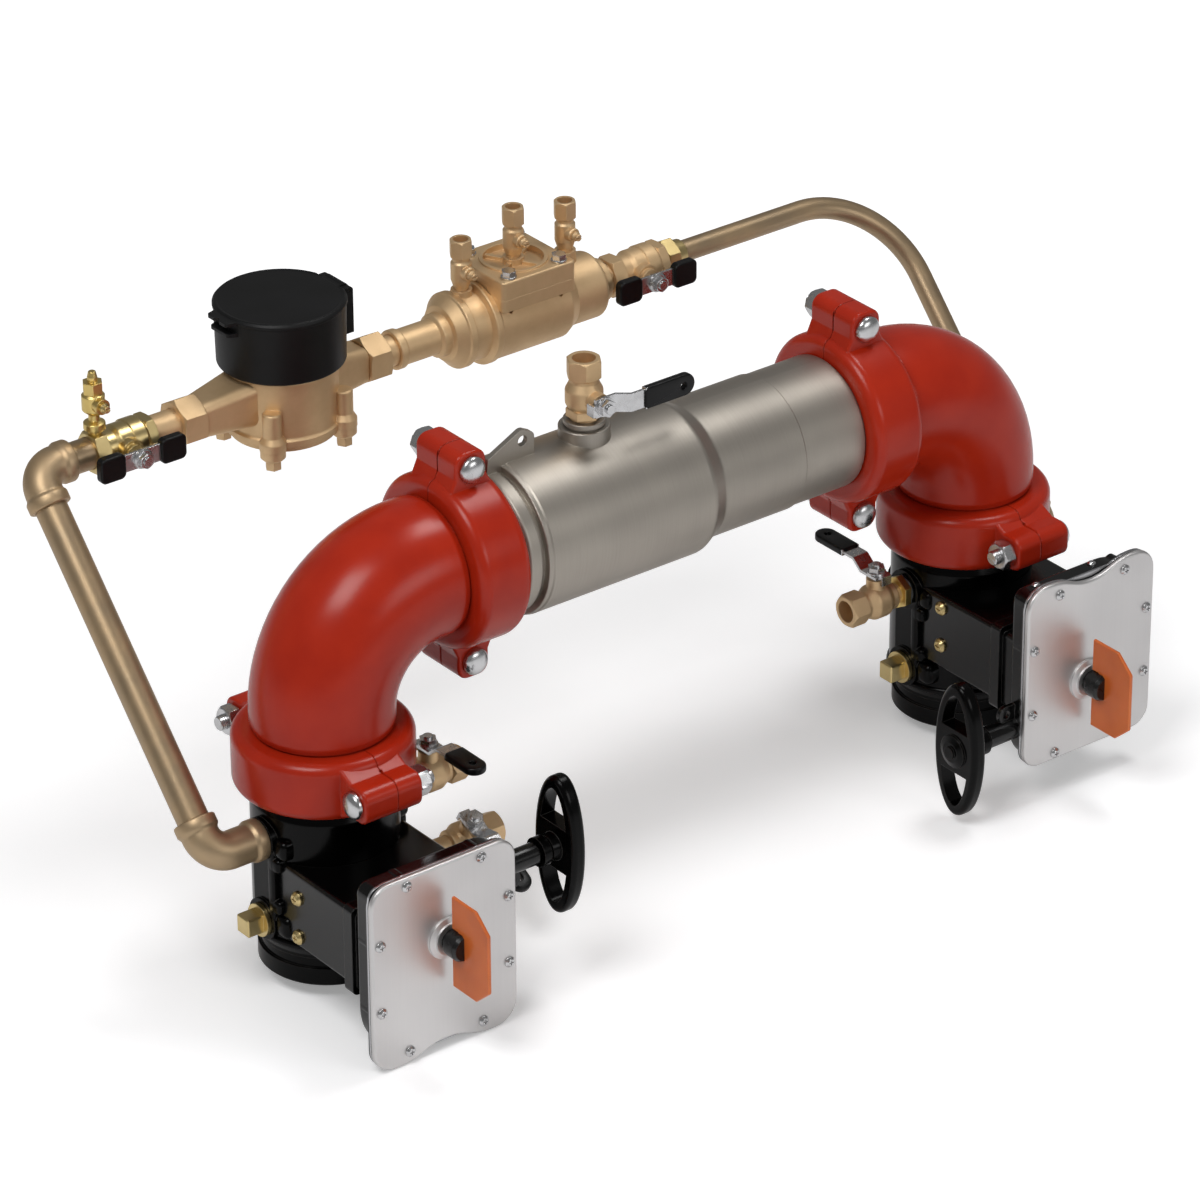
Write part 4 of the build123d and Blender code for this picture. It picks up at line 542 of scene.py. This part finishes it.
# half circle at the tip, two straight sides and a blunt mouth, evenly spaced along their length
def sleeveOutline(reach, shape, count=120):
    half, tip = shape["half"], -reach + shape["tip"]
    around = np.linspace(math.pi, 2 * math.pi, 60)
    arc = np.stack([half * np.cos(around), tip + half * np.sin(around)], -1)
    mouth = -shape["start"]
    corners = np.array([[half, mouth - shape["mouth"]], [half - shape["mouth"], mouth],
                        [-half + shape["mouth"], mouth], [-half, mouth - shape["mouth"]]])
    loop = np.vstack([arc, corners, arc[:1]])
    along = np.concatenate([[0], np.cumsum(np.linalg.norm(np.diff(loop, axis=0), axis=1))])
    at = np.linspace(0, along[-1], count, endpoint=False)
    return np.stack([np.interp(at, along, loop[:, k]) for k in (0, 1)], -1)


# section of rounded edges and flat faces, from the hole's rim to the outline, carried round the hole
def makeSleeve(lever, shape):
    outer = sleeveOutline(lever["reach"], shape)
    middle = np.array([0, -lever["reach"] + shape["holeInset"]])
    spoke = outer - middle
    spoke /= np.linalg.norm(spoke, axis=1)[:, None]
    step = np.roll(outer, -1, 0) - np.roll(outer, 1, 0)
    side = np.stack([step[:, 1], -step[:, 0]], -1) / np.linalg.norm(step, axis=1)[:, None]
    quarter = np.linspace(0, math.pi / 2, 5)
    low, lip, thick = shape["edge"], shape["lip"], shape["thick"]
    # weight 1 at the outline and 0 at the hole, then how far inwards, then the height
    top = [(1, low - low * math.cos(a), thick - low + low * math.sin(a)) for a in quarter]
    top += [(0, lip - lip * math.sin(a), thick - lip + lip * math.cos(a)) for a in quarter]
    loop = np.array(top + [(w, d, -h) for w, d, h in top[::-1]])
    weight, inset, height = loop.T
    rim = middle + spoke[:, None] * (shape["hole"] + inset[None, :, None])
    edge = outer[:, None] - side[:, None] * inset[None, :, None]
    flat = rim * (1 - weight)[None, :, None] + edge * weight[None, :, None]
    points = np.concatenate([flat, np.broadcast_to(shape["middle"] + height, flat.shape[:2])[..., None]], -1)
    joint = joints[lever["joint"]]
    surface(lever["name"], carried(points, *cockFrame(joint, lever["flow"])), joint["child"], "vinyl")


for lever in levers:
    makeSleeve(lever, sleeve)
print("lever sleeves made")


# track bolts and nuts of the grooved couplings, in place of the plain CAD ones

# dome, shank and root are radii, the rest are lengths along the bolt
trackBolt = {"dome": 0.0115, "rim": 0.002, "corner": 0.0004, "rise": 0.0057, "shank": 0.00635, "root": 0.0057,
             "pitch": 0.00195, "threaded": 0.022, "chamfer": 0.0009, "headRows": 14, "turnRows": 90, "columns": 48}
# half is half the width across flats, face the radius where the cone meets the nut's end
hexNut = {"half": 0.011, "height": 0.012, "bore": 0.0062, "face": 0.0103, "slope": 1.7,
          "chamferRows": (0, 0.0004, 0.0008, 0.0012, 0.0017)}
# heights of the lower joints and of the run's axis, and how far a bolt is from the axis of its pipe
lowJoint, run, boltOffset = 0.1845, 0.316, 0.0855
# places along X: the outlet riser's axis, and the run's joint beyond the inlet riser
farAxis, sideJoint = 0.666, 0.1315
# under-face of a head from the plane between its coupling's halves, and from there the nut's start and the bolt's end
lowHead, lowNut, upperHead, upperNut = 0.0312, (0.0554, 0.0734), 0.0242, (0.0534, 0.0714)
# under-face of each head, the way its shank points, the nut's start and the bolt's end
boltPlaces = [((x - way * lowHead, side * boltOffset, lowJoint), (way, 0, 0), *lowNut)
              for x, side, way in ((0, -1, 1), (0, 1, -1), (farAxis, -1, -1), (farAxis, 1, 1))]
boltPlaces += [((x, -upperHead, run + side * boltOffset), (0, 1, 0), *upperNut)
               for x in (sideJoint, farAxis - sideJoint) for side in (-1, 1)]


# half an ellipse for the head, then a plain shank with a saw-tooth that climbs one pitch in one turn
def boltGrid(shape, end):
    around = np.linspace(0, 2 * np.pi, shape["columns"], endpoint=False)[None, :]
    lean = np.linspace(0, np.pi / 2, shape["headRows"])
    head = np.stack([shape["dome"] * np.sin(lean), -shape["rim"] - shape["rise"] * np.cos(lean)], -1)
    rim = np.array([[shape["dome"], -shape["corner"]], [shape["dome"] - shape["corner"], 0], [shape["shank"], 0]])
    plain = np.array([[shape["shank"], end - shape["threaded"]]])
    along = np.linspace(end - shape["threaded"], end - shape["chamfer"], shape["turnRows"])
    turned = np.stack([np.full(shape["turnRows"], shape["shank"]), along], -1)
    tip = np.array([[shape["root"] - shape["chamfer"] / 2, end], [0, end]])
    profile = np.vstack([head, rim, plain, turned, tip])
    radius, height = profile[:, :1] + 0 * around, profile[:, 1:] + 0 * around
    phase = (along[:, None] / shape["pitch"] - around / (2 * np.pi)) % 1
    cut = (shape["shank"] - shape["root"]) * abs(2 * phase - 1)
    rows = slice(len(head) + len(rim) + 1, len(profile) - 2)
    radius[rows] -= cut * np.clip((along[:, None] - along[0]) / shape["pitch"], 0, 1)
    return np.stack([radius * np.cos(around), radius * np.sin(around), height], -1)


# six flats cut off by a cone at both ends: the radius is the smaller of the two
def nutGrid(shape, start):
    around = np.radians(np.arange(0, 360, 5))[None, :]
    flats = shape["half"] / np.cos((around + np.pi / 6) % (np.pi / 3) - np.pi / 6)
    depth = np.array(shape["chamferRows"])
    depth = np.concatenate([depth, shape["height"] - depth[::-1]])[:, None]
    cone = shape["face"] + shape["slope"] * np.minimum(depth, shape["height"] - depth)
    bore = np.full_like(around, shape["bore"])
    radius = np.vstack([bore, np.minimum(flats, cone), bore])
    height = start + np.vstack([[[0]], depth, [[shape["height"]]]]) + 0 * around
    return np.stack([radius * np.cos(around), radius * np.sin(around), height], -1)


def makeBolts(places, bolt, nut):
    bolts, nuts = [], []
    for origin, ahead, start, end in places:
        axis = np.array(ahead, float)
        across = np.array((0, 0, 1))  # no bolt is upright
        place = (origin, across, np.cross(axis, across), axis)
        bolts.append(carried(boltGrid(bolt, end), *place))
        nuts.append(carried(nutGrid(nut, start), *place))
    shafts = surface("couplingBolts", bolts, "pipework", "bright_steel", rowsMeet=False, sharp=40)
    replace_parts(shafts, "coupling_bolts")
    surface("couplingNuts", nuts, "pipework", "bright_steel", sharp=25)


makeBolts(boltPlaces, trackBolt, hexNut)
print("coupling bolts made")


# cast detail of the two valve bodies: ribs between the port bosses, round lugs and a ring above the foot

# stem is the height of the stem's axis, port how far the port bosses are above and below it
casting = {"valves": (0.0, 0.666), "stem": 0.0895, "port": 0.037, "rib": (0.0604, -0.0128),
           "ribHalf": (0.0034, 0.0042, 0.0042), "ribShort": 0.006,
           "ring": {"radius": 0.0592, "bulge": 0.0031, "half": 0.0036, "height": 0.0368}}
# each lug: out from the axis, towards the front, above the stem in port heights, half sizes
lugs = [(0.0515, -0.0230, -0.96, (0.0115, 0.0095, 0.0105)), (0.0572, -0.0170, -0.52, (0.0066, 0.0070, 0.0066)),
        (0.0572, -0.0170, 0.52, (0.0066, 0.0070, 0.0066)), (0.0525, -0.0215, 0.93, (0.0100, 0.0085, 0.0092))]


# sine and cosine bent by a power, which squares a round section up
def bent(level, power):
    return np.sign(level) * abs(level) ** power


# a squared-up ball pulled apart at its middle: the halves move down and up by the straight length each
def stretchedBall(middle, half, straight=0.0, rows=20, columns=32, square=0.6):
    lean = np.linspace(0, np.pi, rows)[:, None]
    around = np.linspace(0, 2 * np.pi, columns, endpoint=False)[None, :]
    flank = bent(np.sin(lean), square)
    across, away = flank * bent(np.cos(around), square), flank * bent(np.sin(around), square)
    height = -half[2] * bent(np.cos(lean), square) - straight * np.where(lean < np.pi / 2, 1, -1)
    return np.stack([half[0] * across, half[1] * away, height + 0 * around], -1) + np.array(middle)


# an ellipse carried round the barrel's axis
def ringGrid(x, shape, rows=16, columns=96):
    section = np.linspace(0, 2 * np.pi, rows, endpoint=False)[:, None]
    around = np.linspace(0, 2 * np.pi, columns, endpoint=False)[None, :]
    radius = shape["radius"] - shape["bulge"] * np.cos(section)
    height = shape["height"] + shape["half"] * np.sin(section) + 0 * around
    return np.stack([x + radius * np.cos(around), radius * np.sin(around), height], -1)


def makeCasting(shape, lugs):
    out, front = shape["rib"]
    balls, rings = [], [ringGrid(x, shape["ring"]) for x in shape["valves"]]
    for x in shape["valves"]:
        for side in (-1, 1):
            ribMiddle = (x + side * out, front, shape["stem"])
            balls.append(stretchedBall(ribMiddle, shape["ribHalf"], shape["port"] - shape["ribShort"]))
            for reach, ahead, level, half in lugs:
                middle = (x + side * reach, ahead, shape["stem"] + level * shape["port"])
                balls.append(stretchedBall(middle, half))
    surface("valveLugs", balls, "pipework", "black_iron", rowsMeet=False)
    surface("valveRings", rings, "pipework", "black_iron")


makeCasting(casting, lugs)
print("valve castings made")


# close nipple between the small double check and the outlet ball valve

# line is the place of its axis, root, crest and bore are radii
nipple = {"from": 0.4528, "to": 0.4652, "line": (0.229, 0.3745), "root": 0.0125, "crest": 0.0132, "pitch": 0.0018,
          "bore": 0.0095}


# a tube along X whose saw-tooth outside climbs one pitch in one turn
def makeNipple(shape, rows=64, columns=60):
    along = np.linspace(shape["from"], shape["to"], rows)[:, None]
    around = np.linspace(0, 2 * np.pi, columns, endpoint=False)[None, :]
    phase = ((along - shape["from"]) / shape["pitch"] - around / (2 * np.pi)) % 1
    outside = shape["root"] + (shape["crest"] - shape["root"]) * (1 - abs(2 * phase - 1))
    radius = np.vstack([outside, np.full((2, columns), shape["bore"])])
    reach = np.vstack([along, [[shape["to"]], [shape["from"]]]]) + 0 * around
    points = np.stack([reach, radius * np.cos(around), radius * np.sin(around)], -1)
    surface("closeNipple", points + np.array((0, *shape["line"])), "pipework", "bronze", sharp=60)


makeNipple(nipple)
print("close nipple made")


# swept elbows of the bypass, in place of the CAD ones with a ball at the corner

# lip and neck: how far in from a mouth, and how far inside the collar's or outside the body's radius
sweptElbow = {"bend": 0.0195, "body": 0.0156, "collar": 0.01754, "socket": 0.01354, "depth": 0.013, "bore": 0.0095,
              "lip": ((0, 0.0012), (0.0005, 0.0004), (0.0013, 0), (0.0082, 0), (0.0092, 0.0004)),
              "neck": ((0.0104, 0.0006), (0.0118, 0)), "plainFrom": 0.0125, "outerRows": 30, "boreRows": 26}
riserWay = np.array((0, 0.229, 0.248)) / math.hypot(0.229, 0.248)
# corner, the two ways out of it and how far each socket's mouth is
elbowPlaces = [((-0.111, 0.229, 0.3745), (1, 0, 0), -riserWay, 0.032, 0.032),
               ((-0.111, 0, 0.1265), riserWay, (1, 0, 0), 0.032, 0.0468),
               ((0.760, 0, 0.1265), riserWay, (-1, 0, 0), 0.032, 0.0298)]


# the same rows counted from the other end
def fromEnd(rows, total):
    return np.stack([total - rows[:, 0], rows[:, 1]], -1)


# rows of a place along the elbow and a radius: outside from mouth to mouth, then back through the bore
def elbowProfile(total, shape):
    lip = [(along, shape["collar"] - under) for along, under in shape["lip"]]
    neck = [(along, shape["body"] + over) for along, over in shape["neck"]]
    mouth = np.array(lip + neck)
    socket = np.array([(0, shape["socket"]), (shape["depth"], shape["socket"])])
    plain = np.linspace(shape["plainFrom"], total - shape["plainFrom"], shape["outerRows"])
    bore = np.linspace(total - shape["depth"], shape["depth"], shape["boreRows"])
    rows = [mouth, np.stack([plain, np.full_like(plain, shape["body"])], -1), fromEnd(mouth, total)[::-1],
            fromEnd(socket, total), np.stack([bore, np.full_like(bore, shape["bore"])], -1), socket[::-1]]
    return np.vstack(rows)


# a circle carried along a line, a quarter bend and a line, with the profile's radius at each place
def elbowGrid(corner, first, second, reach, last, shape, columns=48):
    corner, first, second = (np.array(v, float) for v in (corner, first, second))
    bend = shape["bend"]
    before, arc = reach - bend, bend * np.pi / 2
    rows = elbowProfile(before + arc + last - bend, shape)
    along, radius = rows[:, :1], rows[:, 1:]
    angle = np.clip((along - before) / bend, 0, np.pi / 2)
    out = -(second * np.cos(angle) + first * np.sin(angle))
    line = corner + (first + second) * bend + bend * out
    line = line + first * np.maximum(before - along, 0) + second * np.maximum(along - before - arc, 0)
    around = np.linspace(0, 2 * np.pi, columns, endpoint=False)
    side = np.cross(first, second)
    ring = out[:, None] * np.cos(around)[None, :, None] + side * np.sin(around)[None, :, None]
    return line[:, None] + radius[:, :, None] * ring


def makeElbows(places, shape):
    grids = [elbowGrid(*place, shape) for place in places]
    finish = ownLooks["bypass_elbows"]
    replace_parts(surface("bypassElbows", grids, "pipework", "bronze", sharp=50, finish=finish), "bypass_elbows")


makeElbows(elbowPlaces, sweptElbow)
print("bypass elbows made")


# dial under the register's lid: ticks, plain numbers, a counter window and one hand

# outer, long and short are radii of the ticks' ends, numbers of the digits' ring, wide and thin widths of ticks
dial = {"middle": (0.129, 0.229, 0.4355), "ticks": 100, "every": 10, "outer": 0.0405, "long": 0.0355,
        "short": 0.0382, "wide": 0.0007, "thin": 0.0004, "rise": 0.0003, "numbers": 0.0305, "size": 0.0062,
        "counter": (0.030, 0.0085), "counterPlace": 0.013, "counterDigits": 6, "counterSize": 0.85,
        "hand": 0.034, "tail": 0.008, "handHalf": (0.0012, 0.0004), "handRise": 0.0009}


# thin closed bars on the dial: each from its four corners, with a top and a bottom
def bars(name, corners, rise, slot, finish=None):
    corners = np.asarray(corners, float)
    count = len(corners)
    low = np.concatenate([corners, np.zeros((count, 4, 1))], -1)
    points = (np.concatenate([low, low + (0, 0, rise)], 1) + np.array(dial["middle"])).reshape(-1, 3)
    faces = np.array([(3, 2, 1, 0), (4, 5, 6, 7), (0, 1, 5, 4), (1, 2, 6, 5), (2, 3, 7, 6), (3, 0, 4, 7)])
    faces = (faces[None] + 8 * np.arange(count)[:, None, None]).reshape(-1, 4)
    mesh = bpy.data.meshes.new(name)
    mesh.from_pydata(points.tolist(), [], faces.tolist())
    addPiece(name, mesh, "pipework", slot, finish)


# a tick is a rectangle whose middle line points at the dial's middle
def makeTicks(shape, ink):
    tick = np.arange(shape["ticks"])
    turn = tick * 2 * np.pi / shape["ticks"]
    isLong = tick % shape["every"] == 0
    inner = np.where(isLong, shape["long"], shape["short"])
    half = np.where(isLong, shape["wide"], shape["thin"]) / 2
    out = np.stack([np.sin(turn), np.cos(turn)], -1)
    side = np.stack([np.cos(turn), -np.sin(turn)], -1) * half[:, None]
    near, far = out * inner[:, None], out * shape["outer"]
    bars("dialTicks", np.stack([near + side, far + side, far - side, near - side], 1), shape["rise"], "dial", ink)


# plain digits round the dial and in the counter, turned into one mesh
def makeNumbers(shape, ink):
    digits, columns = shape["ticks"] // shape["every"], shape["counterDigits"]
    parts = []
    for digit in range(digits):
        turn = digit * 2 * math.pi / digits
        place = Vector((math.sin(turn), math.cos(turn), 0)) * shape["numbers"]
        parts.append((str(digit), place, shape["size"]))
    for column in range(columns):
        across = (column - (columns - 1) / 2) * shape["counter"][0] / columns
        parts.append(("0", Vector((across, shape["counterPlace"], 0)), shape["size"] * shape["counterSize"]))
    joined = bmesh.new()
    for text, place, size in parts:
        curve = bpy.data.curves.new("digit", "FONT")
        curve.body, curve.size, curve.extrude = text, size, shape["rise"] / 2
        curve.align_x, curve.align_y = "CENTER", "CENTER"
        helper = bpy.data.objects.new("digit", curve)
        bpy.context.scene.collection.objects.link(helper)
        bpy.context.view_layer.update()
        mesh = bpy.data.meshes.new_from_object(helper)
        bpy.data.objects.remove(helper)
        mesh.transform(Matrix.Translation(Vector(shape["middle"]) + place + Vector((0, 0, shape["rise"]))))
        joined.from_mesh(mesh)
    bmesh.ops.remove_doubles(joined, verts=joined.verts, dist=weld)
    whole = bpy.data.meshes.new("dialNumbers")
    joined.to_mesh(whole)
    joined.free()
    addPiece("dialNumbers", whole, "pipework", "dial", ink)


def makeDial(shape):
    ink = printedInk()
    makeTicks(shape, ink)
    makeNumbers(shape, ink)
    (wide, tall), edge = shape["counter"], shape["wide"]
    left, right = -wide / 2, wide / 2
    low, high = shape["counterPlace"] - tall / 2, shape["counterPlace"] + tall / 2
    sides = [(left, low, right, low + edge), (left, high - edge, right, high),
             (left, low + edge, left + edge, high - edge), (right - edge, low + edge, right, high - edge)]
    window = [[(a, b), (c, b), (c, d), (a, d)] for a, b, c, d in sides]
    bars("counterWindow", window, shape["rise"], "dial", ink)
    tail, tip = shape["handHalf"]
    hand = [[(-tail, -shape["tail"]), (tail, -shape["tail"]), (tip, shape["hand"]), (-tip, shape["hand"])]]
    bars("dialHand", hand, shape["handRise"], "flag_plastic")


makeDial(dial)
print("dial made")


# studio: a pale floor that keeps the shadow, a white surround and three soft lights

# near and far: the floor's lift towards white, from the first to the last reach round the middle; the smaller lift
# near the object leaves a painted shade round it
studio = {"floor": tint(246, 246, 247), "size": 7.0, "drop": 0.0005, "near": 0.27, "far": 0.62,
          "middle": (0.33, 0.0), "reach": (0.35, 1.5), "glossyLift": 0.04, "white": 1.0, "reflected": 0.2,
          "ambient": 0.28, "aim": (0.33, 0.1, 0.25)}
lamps = [
    {"name": "window", "place": (-1.3, -0.6, 2.7), "size": (1.2, 1.2), "power": 40},
    {"name": "overhead", "place": (1.3, -0.1, 2.7), "size": (0.9, 0.7), "power": 19},
    {"name": "front", "place": (0.9, -3.0, 1.5), "size": (1.6, 1.0), "power": 16},
]


# whether a ray comes from the camera, from a mirror or through glass
def rayKinds(graph):
    return [graph.node("LightPath", out="Is " + kind + " Ray") for kind in ("Camera", "Glossy", "Transmission")]


# the camera sees the lit floor lifted towards white, more so away from the object, which paints shade on the floor
# round the object; metal sees it a little lifted
def makeFloor(look):
    size, height = look["size"], cadBox[0].z - look["drop"]
    corners = [(-size, -size, height), (size, -size, height), (size, size, height), (-size, size, height)]
    mesh = bpy.data.meshes.new("floor")
    mesh.from_pydata(corners, [], [(0, 1, 2, 3)])
    floor = bpy.data.objects.new("floor", mesh)
    bpy.context.scene.collection.objects.link(floor)
    material, g = newMaterial("paleFloor")
    seen, mirrored, through = rayKinds(g)
    # painted shade: the lift grows with distance from the object's middle, so the floor round the object is darker
    out = g.step(g.awayFrom(look["middle"]), *look["reach"])
    lift = look["near"] + (look["far"] - look["near"]) * out
    level = (seen + through) * lift + mirrored * look["glossyLift"]
    glow = g.mix(level, (0, 0, 0, 1), (1, 1, 1, 1))
    finishMaterial(material, g, {"Base Color": look["floor"], "Roughness": 0.9, "Specular IOR Level": 0.0,
                                 "Emission Color": glow, "Emission Strength": 1.0})
    mesh.materials.append(material)


def makeWorld(look):
    world = bpy.data.worlds.new("studio")
    world.use_nodes = True
    bpy.context.scene.world = world
    g = Graph(world.node_tree)
    seen, mirrored, through = rayKinds(g)
    plain = seen + through
    strength = plain * look["white"] + mirrored * look["reflected"] + (1 - plain - mirrored) * look["ambient"]
    sky = g.node("Background", {}, {"Color": (1, 1, 1, 1), "Strength": strength})
    end = world.node_tree.nodes.new("ShaderNodeOutputWorld")
    world.node_tree.links.new(sky.socket, end.inputs["Surface"])


def makeLamp(lamp, aim):
    light = bpy.data.lights.new(lamp["name"], "AREA")
    light.shape = "RECTANGLE"
    light.size, light.size_y = lamp["size"]
    light.energy = lamp["power"]
    thing = bpy.data.objects.new(lamp["name"], light)
    thing.location = lamp["place"]
    thing.rotation_euler = (Vector(aim) - Vector(lamp["place"])).to_track_quat("-Z", "Y").to_euler()
    bpy.context.scene.collection.objects.link(thing)


makeFloor(studio)
makeWorld(studio)
for lamp in lamps:
    makeLamp(lamp, studio["aim"])
print("studio made")
